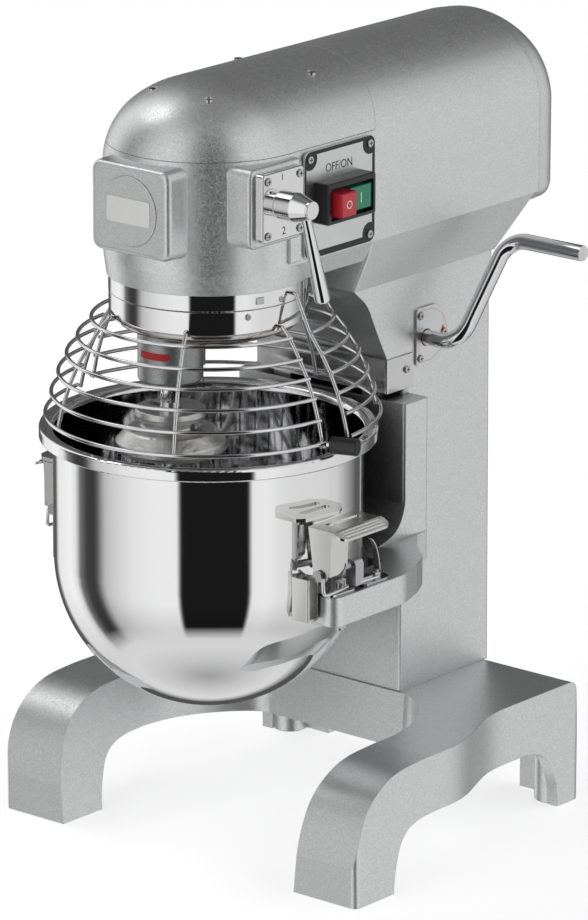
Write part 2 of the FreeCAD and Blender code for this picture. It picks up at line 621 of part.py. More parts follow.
def planet_carrier():
    s = turned([(0, 578.5), (80, 578.5, 4), (96.0, 585.5, 7), (97.2, 600), (97.2, 621.5, 2), (60, 621.5), (60, 636), (0, 636)], 0, AX_Y)
    boss = cyl(34.6, 521.0, 600.0, PX, PY)
    boss = soften(boss, 3.0, lambda e: abs(e.CenterOfMass.z - 521.0) < 0.01 and e.Length > 100)
    s = fuse(s, boss)
    s = s.cut(cyl(11.0 + RUN, 500, 650, PX, PY)).cut(cyl(14.0 + RUN, 588.5, 650, 0, AX_Y))
    return s


out("planet_carrier", planet_carrier())
out("agitator_shaft", soften(cyl(11.0, 466.5, 657.5, PX, PY), 1.5, lambda e: abs(e.CenterOfMass.z - 466.5) < 0.01)
    .cut(cyl(4.0 + RUN, PX - 40, PX + 40, y=PY, z=473.0, axis="x")))
out("agitator_pin", cyl(4.0, PX - 25, PX + 25, y=PY, z=473.0, axis="x"))


def whisk_hub():
    s = turned([(0, 443.7), (56, 443.7, 2), (60.4, 448, 2), (58.5, 455, 4), (46, 468, 8), (30.5, 471, 3), (30.5, 478.5, 1), (36.5, 479.5), (38.3, 483.5, 1.5), (36.8, 490, 1.5), (0, 490)], PX, PY)
    s = s.cut(cyl(11.0 + RUN, 466.0, 495, PX, PY))
    s = s.cut(cyl(4.0 + RUN, PX - 60, PX + 60, y=PY, z=473.0, axis="x"))
    # entry slots of the bayonet, open at the top
    s = s.cut(prism([(PX - 29, PY - 6, 3), (PX + 29, PY - 6, 3), (PX + 29, PY + 6, 3), (PX - 29, PY + 6, 3)], "xy", 480, 495))
    for k in range(16):
        a = math.radians(22.5 * k + 11.25)
        s = s.cut(cyl(2.0, 430, 460, PX + 51 * math.cos(a), PY + 51 * math.sin(a)))
    return s


out("whisk_hub", whisk_hub())
loops = []
for k in range(8):
    a = math.radians(22.5 * k + 11.25)
    zb = 216.0 + 2.5 * k
    prof = [(51, 459.0, 0), (51, 424, 55), (92, 350, 95), (86, 264, 38), (48, zb, 34)]
    pts = [(u, z, r) for u, z, r in prof] + [(-u, z, r) for u, z, r in reversed(prof)]
    loops.append(rod([(PX + u * math.cos(a), PY + u * math.sin(a), z, r) for u, z, r in pts], 1.6))
out("whisk_wires", group(loops))

out("main_shaft", cyl(14.0, 589.0, 742.0, 0, AX_Y))
gph = math.pi / 2                       # the pair meets on the +Y side of the main shaft
out("main_gear", gear(MAIN_N, LAY_M, 712.0, 728.0, 14.0 + RUN, 0, AX_Y, gph, thin=0.2)
    .cut(turned([(30, 711), (62, 711), (62, 717), (30, 717)], 0, AX_Y)))
out("layshaft_pinion", gear(LAY_N, LAY_M, 711.0, 729.0, 9.0 + RUN, 0, LAY_Y, -math.pi / 2 + math.pi / LAY_N, thin=0.2))
out("layshaft", cyl(9.0, 673.0, 812.0, 0, LAY_Y))


def pulley(r, y, bore):
    return turned([(bore, 788), (r, 788, 1), (r, 790.5), (r - 7, 794), (r - 7, 802), (r, 805.5), (r, 808, 1), (bore, 808)], 0, y)


MP_R, LP_R = 30.0, 54.0
out("layshaft_pulley", pulley(LP_R, LAY_Y, 9.0 + RUN))
out("motor_pulley", pulley(MP_R, MOTOR_Y, 9.0 + RUN))


def belt_loop(ra, rb, z0, z1):
    d = MOTOR_Y - LAY_Y
    s = math.asin((ra - rb) / d)

    def pt(r, cy, a):
        return V(r * math.sin(a), cy + r * math.cos(a), z0)
    # the big pulley is at LAY_Y, the small one at MOTOR_Y
    a0 = math.pi / 2 - s
    e = [Part.Arc(pt(ra, LAY_Y, a0), V(0, LAY_Y - ra, z0), pt(ra, LAY_Y, -a0)).toShape(),
         Part.LineSegment(pt(ra, LAY_Y, -a0), pt(rb, MOTOR_Y, -a0)).toShape(),
         Part.Arc(pt(rb, MOTOR_Y, -a0), V(0, MOTOR_Y + rb, z0), pt(rb, MOTOR_Y, a0)).toShape(),
         Part.LineSegment(pt(rb, MOTOR_Y, a0), pt(ra, LAY_Y, a0)).toShape()]
    return Part.Face(Part.Wire(e)).extrude(V(0, 0, z1 - z0))


out("drive_belt", belt_loop(LP_R - 1.0, MP_R - 1.0, 794.5, 801.5).cut(belt_loop(LP_R - 6.8, MP_R - 6.8, 790, 806)))


def motor_body():
    s = turned([(0, 640), (60, 640, 8), (62, 655), (62, 760), (60, 770, 8), (28, 770), (28, 776), (0, 776)], 0, MOTOR_Y)
    for k in range(24):
        a = math.radians(15 * k)
        f = box(60, 66, -1.2, 1.2, 660, 755)
        f.rotate(V(0, 0, 0), V(0, 0, 1), 15 * k)
        f.translate(V(0, MOTOR_Y, 0))
        s = s.fuse(f)
    feet = [box(sx * 60 - 14, sx * 60 + 14, MOTOR_Y + sy * 40 - 10, MOTOR_Y + sy * 40 + 10, 640.1, 650) for sx in (-1, 1) for sy in (-1, 1)]
    s = fuse(s, *feet)
    return s.cut(cyl(9.0 + RUN, 700, 790, 0, MOTOR_Y)).cut(cyl(9.0 + RUN, 640 + 30, 790, 0, MOTOR_Y))


out("motor_body", motor_body())
out("motor_shaft", cyl(9.0, 672.0, 812.0, 0, MOTOR_Y))
out("shaft_bearings", group([
    cyl(29.95, 672.1, 684.0, 0, AX_Y).cut(cyl(14.0 + RUN, 600, 760, 0, AX_Y)),
    cyl(29.95, 688.0, 700.0, 0, AX_Y).cut(cyl(14.0 + RUN, 600, 760, 0, AX_Y)),
    cyl(19.95, 672.1, 684.0, 0, LAY_Y).cut(cyl(9.0 + RUN, 600, 860, 0, LAY_Y)),
    cyl(19.95, 688.0, 700.0, 0, LAY_Y).cut(cyl(9.0 + RUN, 600, 860, 0, LAY_Y)),
]))

# ------------------------------------------------------------ guard
FRONT_RINGS = [(588.0, 122.5), (568.0, 137.0), (549.5, 148.5), (529.7, 157.5), (508.0, 165.0), (485.0, 171.5)]
REAR_RINGS = [(591.0, 131.5), (571.0, 146.0), (552.0, 157.5), (532.0, 166.5), (510.5, 174.0), (487.5, 180.5)]
GAP_A = 5.0


def ring_wire(z, r, a0, a1):
    t = Part.makeTorus(r, WIRE, V(0, 0, 0), V(0, 0, 1), -180, 180, a1 - a0)
    t.rotate(V(0, 0, 0), V(0, 0, 1), a0)
    t.translate(V(0, AX_Y, z))
    return t


def polar(r, a, z, bend=0.0):
    a = math.radians(a)
    return (r * math.cos(a), AX_Y + r * math.sin(a), z, bend)


def cage(rings, a0, a1, ups, head):
    parts = [ring_wire(z, r, a0, a1) for z, r in rings]
    for a in ups:
        off = 2 * WIRE - 0.9          # the uprights lie inside the hoops, welded where they touch
        low = (rings[-1][0] - 1.5, rings[-1][1] - off - 0.4)
        pts = [polar(r, a, z, b) for r, z, b in head]
        for z, r in rings[:-1]:
            pts.append(polar(r - off, a, z, 30.0))
        pts.append(polar(low[1], a, low[0]))
        parts.append(rod(pts, WIRE))
    return parts


front_parts = cage(FRONT_RINGS, -180 + GAP_A, -GAP_A, (-5.0, -61.7, -118.3, -175.0),
                   [(102.6, 597.0, 0), (109.5, 597.0, 4.0)])
rear_parts = cage(REAR_RINGS, GAP_A, 180 - GAP_A, (5.0, 47.5, 90.0, 132.5, 175.0),
                  [(102.6, 629.5, 0), (111.0, 629.5, 5.0)])


def weld(parts):
    s = parts[0]
    s = s.multiFuse(parts[1:])
    return s


fg = weld(front_parts)
rg = weld(rear_parts)
print("front guard", fg.isValid(), len(fg.Solids), "rear", rg.isValid(), len(rg.Solids))
band = turned([(100.9 + RUN, 592.8), (104.4, 592.8, 0.6), (104.4, 619.1, 0.6), (100.9 + RUN, 619.1)], 0, AX_Y)
for a in (-5.0, -61.7, -118.3, -175.0):
    h = Part.makeCylinder(WIRE + 0.0, 12, V(*polar(98, a, 597.0)[:3]), V(math.cos(math.radians(a)), math.sin(math.radians(a)), 0))
    band = band.cut(h)
out("guard_ring", band)
out("front_guard", fg)
out("rear_guard", rg)
# grip of the guard: a collar on the last upright, a black cylinder and a ball nut
ka = math.radians(-5.0)
kdir = V(math.cos(math.radians(22)), math.sin(math.radians(22)), 0)
kx, ky, kz = polar(FRONT_RINGS[-1][1] - 2 * WIRE + 0.9, -5.0, 483.6)[:3]
kp = V(kx, ky, kz)
nut = Part.makeSphere(5.6, kp).cut(cyl(WIRE + 1.0, 470, kz + 0.4, kx, ky))
nut = nut.cut(box(kx - 20, kx + 20, ky - 20, ky + 20, kz + 1.2, kz + 30))
stem = Part.makeCylinder(3.0, 16.0, kp.add(kdir * 4.0).add(V(0, 0, -0.4)), kdir)
nut = max(fuse(nut, stem).cut(fg).Solids, key=lambda q: q.Volume)
out("guard_knob_nut", nut)
knob = Part.makeCylinder(9.0, 30.0, kp.add(kdir * 9.0).add(V(0, 0, -0.4)), kdir)
knob = soften(knob, 1.5, lambda e: e.Length > 50 and abs(e.CenterOfMass.sub(kp).dot(kdir)) > 5)
knob = knob.cut(Part.makeCylinder(3.0, 12.0, kp.add(kdir * 8.0).add(V(0, 0, -0.4)), kdir))
out("guard_knob", knob)

# ------------------------------------------------------------ bowl
def bowl():
    r, t, c = BOWL_R, BOWL_T, BOWL_CZ
    # outer profile up, rolled rim, inner profile down
    def arc(rad, a0, a1):
        am = (a0 + a1) / 2.0
        q = [V(rad * math.cos(x), 0, c + rad * math.sin(x)) for x in (a0, am, a1)]
        return Part.Arc(*q).toShape(), q[0], q[2]
    e1, p0, p1 = arc(r, -math.pi / 2, 0.0)
    e3, q0, q1 = arc(r - t, 0.0, -math.pi / 2)
    top = [(V(r, 0, 453), 0), (V(r, 0, 455.5), 0), (V(r + 3, 0, 459.0), 2.0), (V(RIM_R, 0, 459.0), 1.5), (V(RIM_R, 0, RIM_Z), 3.2),
           (V(r - t, 0, RIM_Z), 9.0), (V(r - t, 0, 453), 0)]
    mid = rounded(top, close=False)
    edges = [e1, Part.LineSegment(p1, V(r, 0, 453)).toShape()] + mid + \
            [Part.LineSegment(V(r - t, 0, 453), q0).toShape(), e3, Part.LineSegment(q1, p0).toShape()]
    f = Part.Face(Part.Wire(Part.__sortEdges__(edges)))
    s = f.revolve(V(0, 0, 0), V(0, 0, 1), 360)
    s.translate(V(0, AX_Y, 0))
    return s


out("bowl", bowl())
wall = cyl(BOWL_R + 0.02, 300, 458, 0, AX_Y)


def ear():
    s = prism([(120, -235), (176, -235, 3), (184, -226, 6), (190.5, -180, 8), (176, -161, 6), (120, -161)], "xy", 412.6, 416.6)
    s = s.cut(prism([(163.5, -217, 4), (172.0, -217, 4), (175.0, -176, 4), (166.5, -176, 4)], "xy", 400, 430))
    low = prism([(140, -217), (178.0, -217, 2), (178.0, -214.4), (166.5, -214.4), (166.5, -202.2), (178.0, -202.2), (178.0, -199.6, 2), (140, -199.6)], "xy", 302.5, 346.0)
    tray = prism([(140, -217), (178.0, -217, 2), (178.0, -199.6, 2), (140, -199.6)], "xy", 300.0, 302.5)
    low = fuse(low, tray)
    hole = cyl(BOWL_R + 0.02, 280, 458, 0, AX_Y)
    return group([s.cut(hole), low.cut(hole)])


out("bowl_ears", both(ear()))


def bowl_bracket():
    s = prism([(140, -196), (193, -196, 8), (194, -160, 8), (180, -140, 6), (140, -140)], "xy", FORK_Z1 + 0.02, 327.4)
    s = fuse(s, prism([(140, -184), (168.0, -184), (168.0, -150), (140, -150)], "xy", FORK_Z1 + 0.02, 352.0))
    s = s.cut(cyl(BOWL_R + 0.02, 300, 460, 0, AX_Y))
    return s.cut(cyl(5.0 + RUN, 300, 340, 179.0, AX_Y))


out("bowl_brackets", both(bowl_bracket()))


# ------------------------------------------------------------ lift
def bowl_yoke():
    z1 = 472.0
    slab = prism([(-116, 18.0, 4), (116, 18.0, 4), (116, 57.5, 4), (COL_X + 0.8, 57.5), (COL_X + 0.8, 44.4), (-COL_X - 0.8, 44.4),
                  (-COL_X - 0.8, 57.5), (-116, 57.5, 4)], "xy", FORK_Z0, z1)
    slab = slab.cut(prism([(60, 440), (150, 440), (150, 480), (60, 480)], "xz", 200, 300))
    fork = prism([(116, 57.5, 4), (119, 34, 10), (143, 6, 20), (170, -18, 14), (185, -46, 30), (197.5, -82, 40), (197.5, TIP_Y, 14), (155, TIP_Y, 2),
                  (150, -60), (-150, -60), (-155, TIP_Y, 2), (-197.5, TIP_Y, 14), (-197.5, -82, 40), (-185, -46, 30), (-170, -18, 14), (-143, 6, 20),
                  (-119, 34, 10), (-116, 57.5, 4), (-COL_X - 0.8, 57.5), (-COL_X - 0.8, 44.4), (COL_X + 0.8, 44.4), (COL_X + 0.8, 57.5)], "xy", FORK_Z0, FORK_Z1)
    web = mixed([[(18.5, 471), (18.5, 376)], [(18.5, 376), (15.5, 352), (5, 336), (-12, 328), (-34, FORK_Z1 - 1)], [(-34, FORK_Z1 - 1), (18.5, FORK_Z1 - 1)],
                 ][:2] + [[(-34, FORK_Z1 - 1), (20, FORK_Z1 - 1)], [(20, FORK_Z1 - 1), (20, 471)], [(20, 471), (18.5, 471)]], "yz", -116)
    web = Part.Face(web).extrude(V(232, 0, 0))
    s = fuse(slab, fork, web)
    s = s.cut(cyl(BOWL_R + 3.6, 200, 457, 0, AX_Y))
    for sx in (-1, 1):
        a, b = sorted((sx * (RAIL_X0 - RUN), sx * (RAIL_X1 + RUN)))
        s = s.cut(box(a, b, RAIL_F - RUN, 60, 200, 500))
        s = s.cut(cyl(5.0 + RUN, 270, 340, sx * 179.0, AX_Y))
    # bolting face of the lift bracket
    return s


out("bowl_yoke", bowl_yoke())
out("yoke_nuts", group([fuse(cyl(5.0, 281.5, 334.0, sx * 179.0, AX_Y), hexagon(9.0, sx * 179.0, AX_Y, 285.0, FORK_Z0)) for sx in (-1, 1)]))

PIN_Y = LIFT_Y + LIFT_L * math.cos(math.radians(45.0))
PIN_Z = LIFT_Z + LIFT_L * math.sin(math.radians(45.0))


def lift_bracket():
    x0, x1 = -26.0, -14.0
    head = prism([(PIN_Y - 20, PIN_Z - 21, 6), (PIN_Y + 41, PIN_Z - 21, 6), (PIN_Y + 41, PIN_Z + 20, 6), (PIN_Y - 20, PIN_Z + 20, 6)], "yz", x0, x1)
    web = prism([(102, 400), (132, 400), (132, 575), (117, 575), (102, 560)], "yz", x0, x1)
    foot = prism([(44.6, 396), (120, 396), (120, 440), (44.6, 440)], "yz", -26, 26)
    foot = foot.cut(box(-14, 30, 66, 200, 380, 460))
    s = fuse(head, web, foot)
    s = s.cut(prism([(PIN_Y - 11, PIN_Z - 11.5, 6), (PIN_Y + 32, PIN_Z - 11.5, 6), (PIN_Y + 32, PIN_Z + 11.0, 6), (PIN_Y - 11, PIN_Z + 11.0, 6)], "yz", -40, 40))
    return s


out("lift_bracket", lift_bracket())


def lift_arm():
    c = V(-7, LIFT_Y, LIFT_Z)
    hub = Part.makeCylinder(16, 24, c, V(1, 0, 0))
    end = Part.makeCylinder(12, 14, V(-7, PIN_Y, PIN_Z), V(1, 0, 0))
    d = V(0, PIN_Y - LIFT_Y, PIN_Z - LIFT_Z)
    d.normalize()
    n = V(0, -d.z, d.y)
    a, b = V(-7, LIFT_Y, LIFT_Z), V(-7, PIN_Y, PIN_Z)
    w = Part.makePolygon([a.add(n * 14), b.add(n * 11), b.sub(n * 11), a.sub(n * 14), a.add(n * 14)])
    bar = Part.Face(w).extrude(V(14, 0, 0))
    pin = Part.makeCylinder(7.0, 24, V(-27, PIN_Y, PIN_Z), V(1, 0, 0))
    s = fuse(hub, end, bar, pin)
    return s.cut(cyl(ROD_R + RUN, -30, 40, y=LIFT_Y, z=LIFT_Z, axis="x"))


out("lift_arm", lift_arm())
CR_X = 136.0
out("crank_handle", rod([(-90.5, LIFT_Y, LIFT_Z), (CR_X, LIFT_Y, LIFT_Z, 24), (CR_X, LIFT_Y + 84.0, LIFT_Z + 99.8, 24), (236.0, LIFT_Y + 84.0, LIFT_Z + 99.8)], ROD_R))
out("crank_plate", prism([(66.2, 498.8, 5), (92, 498.8, 14), (113, 509, 10), (121.0, 531, 26), (113, 553, 12), (98, 562.8, 14), (66.2, 562.8, 5)], "yz", COL_X + 0.02, COL_X + 2.5)
    .cut(cyl(ROD_R + 0.9, 80, 100, y=LIFT_Y, z=LIFT_Z, axis="x")))
CPS = [(72.5, 554.0), (72.5, 507.0), (112.5, 529.0)]
out("crank_plate_screws", group([screw((COL_X + 2.5, y, z), (1, 0, 0), 4.0, 2.2) for y, z in CPS]))


# ------------------------------------------------------------ bowl clamps
def clamp_mount():
    blk = prism([(178.5, 328.02), (191.5, 328.02), (191.5, 351, 4), (189, 356, 4), (180, 356, 4), (178.5, 346, 4)], "xz", -156.0, -143.0)
    plate = prism([(181.0, -139.5, 2), (194.5, -143.0, 4), (194.5, -104.0, 8), (181.0, -96.0, 6), (171.0, -112.0, 6)], "xy", FORK_Z1 + 0.02, FORK_Z1 + 3.02)
    link = box(181.5, 191.5, -148, -128, FORK_Z1 + 3.02, 334.0).common(box(181.5, 191.5, -143.01, -128, 300, 340))
    s = fuse(blk, plate, link, box(182, 191, -145, -138, 328.1, 334.0), cyl(4.0, -208.0, -140.0, x=CLAMP_X, z=CLAMP_Z, axis="y"),
             cyl(6.0, -210.2, -207.6, x=CLAMP_X, z=CLAMP_Z, axis="y"),
             hexagon(5.5, 183.0, -112.0, FORK_Z1 + 3.0, FORK_Z1 + 8.0), cyl(3.2, FORK_Z1 + 3, FORK_Z1 + 10.5, 183.0, -112.0))
    return s.cut(cyl(BOWL_R + 2.0, 280, 458, 0, AX_Y))


out("clamp_mounts", both(clamp_mount()))


def clamp_lever():
    t = 2.5
    y0, y1 = -206.0, -128.0
    top = prism([(167.5, y0, 2), (201, y0), (201, y1), (167.5, y1, 2)], "xy", 397.5, 397.5 + t)
    top = top.cut(prism([(176, -190, 4), (184.5, -190, 4), (187.5, -138, 4), (179, -138, 4)], "xy", 390, 410))
    grip = prism([(200.5, y0 - 1), (216.5, y0 - 1, 10), (216.5, y1 + 1, 10), (200.5, y1 + 1)], "xy", 380, 410)
    grip = grip.common(prism([(200.5, 397.5), (200.5, 400.0), (204.0, 399.4), (216.5, 394.4), (216.5, 391.6), (204.0, 396.6)], "xz", y0 - 2, y1 + 2))
    for k in range(3):
        x = 204.6 + 3.7 * k
        z = 399.4 - (x - 204.0) * 0.4
        grip = fuse(grip, prism([(x, z - 0.6), (x + 0.4, z + 1.2), (x + 1.5, z + 0.8), (x + 2.0, z - 1.2)], "xz", y0 + 9, y1 - 9))
    front = prism([(169.0, 399), (199.5, 399), (197.0, 358, 6), (191.5, 343, 5), (180.5, 343, 5), (175.5, 354, 4)], "xz", y0, y0 + t)
    side = prism([(y0, 399), (-176.0, 399), (-183.0, 356, 4), (-192, 351, 3), (y0, 351)], "yz", 198.5 - t, 198.5)
    inner = prism([(180.0, 399), (198.5, 399), (197.0, 358, 6), (191.5, 343, 5), (180.5, 343, 5), (178.5, 356, 4)], "xz", -176.0 - t, -176.0)
    link = prism([(-182.0, 399), (-176.0, 399), (-176.0, 360), (-180.0, 360)], "yz", 196.0, 198.5).common(prism([(180.0, 399), (198.5, 399), (197.0, 358), (191.5, 343), (180.5, 343)], "xz", -190, -170))
    s = fuse(top, grip, front, side, inner, link)
    return s.cut(cyl(4.0 + RUN, -215, -100, x=CLAMP_X, z=CLAMP_Z, axis="y"))


cl = clamp_lever()
out("clamp_lever_right", cl)
out("clamp_lever_left", mirror_x(cl))
print(len(names), "nodes")
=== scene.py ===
import bpy, bmesh, math
from mathutils import Vector, Matrix


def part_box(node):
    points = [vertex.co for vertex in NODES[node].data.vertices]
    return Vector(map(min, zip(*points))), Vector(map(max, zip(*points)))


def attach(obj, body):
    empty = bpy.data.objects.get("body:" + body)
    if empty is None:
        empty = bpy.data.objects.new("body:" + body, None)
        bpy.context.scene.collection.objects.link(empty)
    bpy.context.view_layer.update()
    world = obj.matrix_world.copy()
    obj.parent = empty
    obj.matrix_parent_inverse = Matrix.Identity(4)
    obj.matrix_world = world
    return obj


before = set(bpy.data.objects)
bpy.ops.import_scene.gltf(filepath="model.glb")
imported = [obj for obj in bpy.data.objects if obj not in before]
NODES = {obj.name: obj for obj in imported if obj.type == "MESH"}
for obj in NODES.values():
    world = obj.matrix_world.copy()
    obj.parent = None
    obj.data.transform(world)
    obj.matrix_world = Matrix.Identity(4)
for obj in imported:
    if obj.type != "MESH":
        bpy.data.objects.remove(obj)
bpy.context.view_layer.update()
scene = bpy.context.scene
MM = 0.001


# ---------------------------------------------------------------- node helpers
def new_mat(name):
    m = bpy.data.materials.new(name)
    m.use_nodes = True
    t = m.node_tree
    t.nodes.clear()
    out = t.nodes.new("ShaderNodeOutputMaterial")
    p = t.nodes.new("ShaderNodeBsdfPrincipled")
    t.links.new(p.outputs["BSDF"], out.inputs["Surface"])
    return m, t, p


def coord(t, scale=(1, 1, 1)):
    tc = t.nodes.new("ShaderNodeTexCoord")
    mp = t.nodes.new("ShaderNodeMapping")
    mp.inputs["Scale"].default_value = scale
    t.links.new(tc.outputs["Object"], mp.inputs["Vector"])
    return mp.outputs["Vector"]


def noise(t, vec, scale, detail=2.0, rough=0.5):
    n = t.nodes.new("ShaderNodeTexNoise")
    n.inputs["Scale"].default_value = scale
    n.inputs["Detail"].default_value = detail
    n.inputs["Roughness"].default_value = rough
    t.links.new(vec, n.inputs["Vector"])
    return n.outputs["Fac"]


def ramp(t, fac, stops):
    r = t.nodes.new("ShaderNodeValToRGB")
    e = r.color_ramp.elements
    while len(e) > 1:
        e.remove(e[0])
    for i, (pos, c) in enumerate(stops):
        if isinstance(c, (int, float)):
            c = (c, c, c)
        el = e[0] if i == 0 else e.new(pos)
        el.position = pos
        el.color = (c[0], c[1], c[2], 1)
    t.links.new(fac, r.inputs["Fac"])
    return r.outputs["Color"]


def bump(t, fac, dist, strength=1.0, normal=None):
    b = t.nodes.new("ShaderNodeBump")
    b.inputs["Distance"].default_value = dist
    b.inputs["Strength"].default_value = strength
    t.links.new(fac, b.inputs["Height"])
    if normal is not None:
        t.links.new(normal, b.inputs["Normal"])
    return b.outputs["Normal"]


def soft_edge(t, radius):
    b = t.nodes.new("ShaderNodeBevel")
    b.samples = 4
    b.inputs["Radius"].default_value = radius
    return b.outputs["Normal"]


def metal(name, colour, rough, var=0.03, grain=None, grain_scale=60.0, bump_d=0.0, bump_s=1.0, spots=0.0, edge=0.0, coat=0.0, tint_scale=9.0, metallic=1.0, fine=None):
    """A metal: slow tint, roughness variation, optional brushed grain along an axis, optional surface relief."""
    m, t, p = new_mat(name)
    v = coord(t)
    slow = noise(t, v, tint_scale, 3.0)
    lo = tuple(max(0, c * (1 - var)) for c in colour)
    hi = tuple(min(1, c * (1 + var)) for c in colour)
    col = ramp(t, slow, [(0.3, lo), (0.7, hi)])
    t.links.new(col, p.inputs["Base Color"])
    p.inputs["Metallic"].default_value = metallic
    r = ramp(t, noise(t, v, tint_scale * 4, 4.0, 0.6), [(0.3, max(0.0, rough * 0.82)), (0.7, rough * 1.18)])
    t.links.new(r, p.inputs["Roughness"])
    nrm = soft_edge(t, edge) if edge else None
    if grain:
        g = noise(t, coord(t, grain), grain_scale, 5.0, 0.7)
        nrm = bump(t, g, fine or 0.00002, 1.0, nrm)
    if bump_d:
        nrm = bump(t, noise(t, v, bump_s, 4.0, 0.6), bump_d, 1.0, nrm)
    if nrm is not None:
        t.links.new(nrm, p.inputs["Normal"])
    if coat:
        p.inputs["Coat Weight"].default_value = coat
        p.inputs["Coat Roughness"].default_value = 0.08
    return m


def enamel(name, colour, flake=0.07, rough=0.41, painted_corner_shade=False):
    """Metallic sparkle enamel: fine bright flakes in a silver-grey lacquer under a gloss coat; optionally with painted
    shade that darkens the colour in deep corners.
    """
    m, t, p = new_mat(name)
    v = coord(t)
    slow = noise(t, v, 4.0, 2.0)
    vor = t.nodes.new("ShaderNodeTexVoronoi")
    vor.feature = "F1"
    vor.inputs["Scale"].default_value = 900.0
    t.links.new(v, vor.inputs["Vector"])
    sep = t.nodes.new("ShaderNodeSeparateColor")
    t.links.new(vor.outputs["Color"], sep.inputs["Color"])
    fl = ramp(t, sep.outputs["Red"], [(0.0, 1 - flake * 1.4), (0.6, 1.0), (0.93, 1 + flake * 0.8), (1.0, 1 + flake * 2.4)])
    base = ramp(t, slow, [(0.3, tuple(c * 0.985 for c in colour)), (0.7, tuple(c * 1.015 for c in colour))])
    mx = t.nodes.new("ShaderNodeMix")
    mx.data_type = "RGBA"
    mx.blend_type = "MULTIPLY"
    mx.inputs["Factor"].default_value = 1.0
    t.links.new(base, mx.inputs["A"])
    t.links.new(fl, mx.inputs["B"])
    col = mx.outputs["Result"]
    if painted_corner_shade:
        # painted shade: ambient occlusion darkens the base colour in the deep corners, as between the fork and the
        # bowl
        ao = t.nodes.new("ShaderNodeAmbientOcclusion")
        ao.samples = 8
        ao.inputs["Distance"].default_value = 0.17
        shade_ramp = ramp(t, ao.outputs["AO"], [(0.0, 0.10), (0.30, 0.22), (0.62, 1.0), (1.0, 1.0)])
        m2 = t.nodes.new("ShaderNodeMix")
        m2.data_type = "RGBA"
        m2.blend_type = "MULTIPLY"
        m2.inputs["Factor"].default_value = 1.0
        t.links.new(col, m2.inputs["A"])
        t.links.new(shade_ramp, m2.inputs["B"])
        col = m2.outputs["Result"]
    t.links.new(col, p.inputs["Base Color"])
    p.inputs["Metallic"].default_value = 0.92
    rr = ramp(t, sep.outputs["Green"], [(0.0, rough * 0.75), (1.0, rough * 1.25)])
    t.links.new(rr, p.inputs["Roughness"])
    nrm = soft_edge(t, 0.0012)
    nrm = bump(t, noise(t, v, 90.0, 3.0, 0.6), 0.00010, 1.0, nrm)
    nrm = bump(t, vor.outputs["Distance"], 0.00006, 1.0, nrm)
    t.links.new(nrm, p.inputs["Normal"])
    p.inputs["Coat Weight"].default_value = 0.12
    p.inputs["Coat Roughness"].default_value = 0.15
    return m


def plastic(name, colour, rough=0.4, relief=0.00003, scale=700.0, var=0.04, edge=0.0005, coat=0.0, spec=0.5):
    m, t, p = new_mat(name)
    v = coord(t)
    lo = tuple(c * (1 - var) for c in colour)
    hi = tuple(min(1, c * (1 + var)) for c in colour)
    t.links.new(ramp(t, noise(t, v, 20.0, 3.0), [(0.3, lo), (0.7, hi)]), p.inputs["Base Color"])
    t.links.new(ramp(t, noise(t, v, 60.0, 3.0), [(0.3, rough * 0.9), (0.7, rough * 1.1)]), p.inputs["Roughness"])
    p.inputs["Specular IOR Level"].default_value = spec
    nrm = soft_edge(t, edge)
    nrm = bump(t, noise(t, v, scale, 3.0, 0.6), relief, 1.0, nrm)
    t.links.new(nrm, p.inputs["Normal"])
    if coat:
        p.inputs["Coat Weight"].default_value = coat
        p.inputs["Coat Roughness"].default_value = 0.05
    return m


M = {}
M["enamel"] = enamel("sparkle_enamel", (0.79, 0.795, 0.80))
# painted shade: this enamel darkens its own colour in corners, used on the column and the fork
M["enamel_painted_shade"] = enamel("sparkle_enamel_painted_shade", (0.79, 0.795, 0.80), painted_corner_shade=True)
M["rubber"] = plastic("black_rubber", (0.022, 0.022, 0.022), 0.75, 0.00006, 400.0)
M["zinc"] = metal("zinc_plate", (0.60, 0.60, 0.58), 0.28, 0.06, tint_scale=40, edge=0.0003)
M["machined"] = metal("ground_steel", (0.52, 0.52, 0.53), 0.26, 0.05, grain=(1, 1, 0.06), grain_scale=900, edge=0.0003)
M["sheet"] = metal("stainless_sheet", (0.72, 0.72, 0.71), 0.20, 0.03, edge=0.0004, tint_scale=6)
M["sheet_v"] = metal("stainless_brushed_upright", (0.70, 0.70, 0.70), 0.24, 0.03, grain=(1, 1, 0.03), grain_scale=700, edge=0.0003)
M["mirror"] = metal("polished_stainless", (0.84, 0.84, 0.845), 0.045, 0.015, edge=0.0003, tint_scale=3)
M["bowl"] = metal("bowl_stainless", (0.86, 0.86, 0.865), 0.05, 0.01, edge=0.0002, tint_scale=3)
M["chrome"] = metal("chrome_plate", (0.82, 0.82, 0.83), 0.05, 0.02, edge=0.0004, tint_scale=8)
M["wire"] = metal("bright_wire", (0.74, 0.74, 0.75), 0.12, 0.03, tint_scale=30)
M["black"] = plastic("moulded_black", (0.018, 0.018, 0.02), 0.32)
M["red"] = plastic("red_button", (0.52, 0.012, 0.03), 0.30, coat=0.4)
M["green"] = plastic("green_button", (0.0, 0.20, 0.10), 0.30, coat=0.4)
M["label"] = metal("anodised_plate", (0.74, 0.745, 0.75), 0.34, 0.02, tint_scale=12, edge=0.0002)
M["cast"] = metal("rough_cast_aluminium", (0.74, 0.74, 0.73), 0.36, 0.08, bump_d=0.0006, bump_s=160, tint_scale=60, edge=0.0008)
M["gear"] = metal("oiled_gear_steel", (0.40, 0.39, 0.37), 0.30, 0.10, tint_scale=40)
M["motor"] = plastic("motor_enamel", (0.10, 0.14, 0.19), 0.42)
M["bearing"] = metal("bearing_steel", (0.64, 0.64, 0.64), 0.15, 0.03)


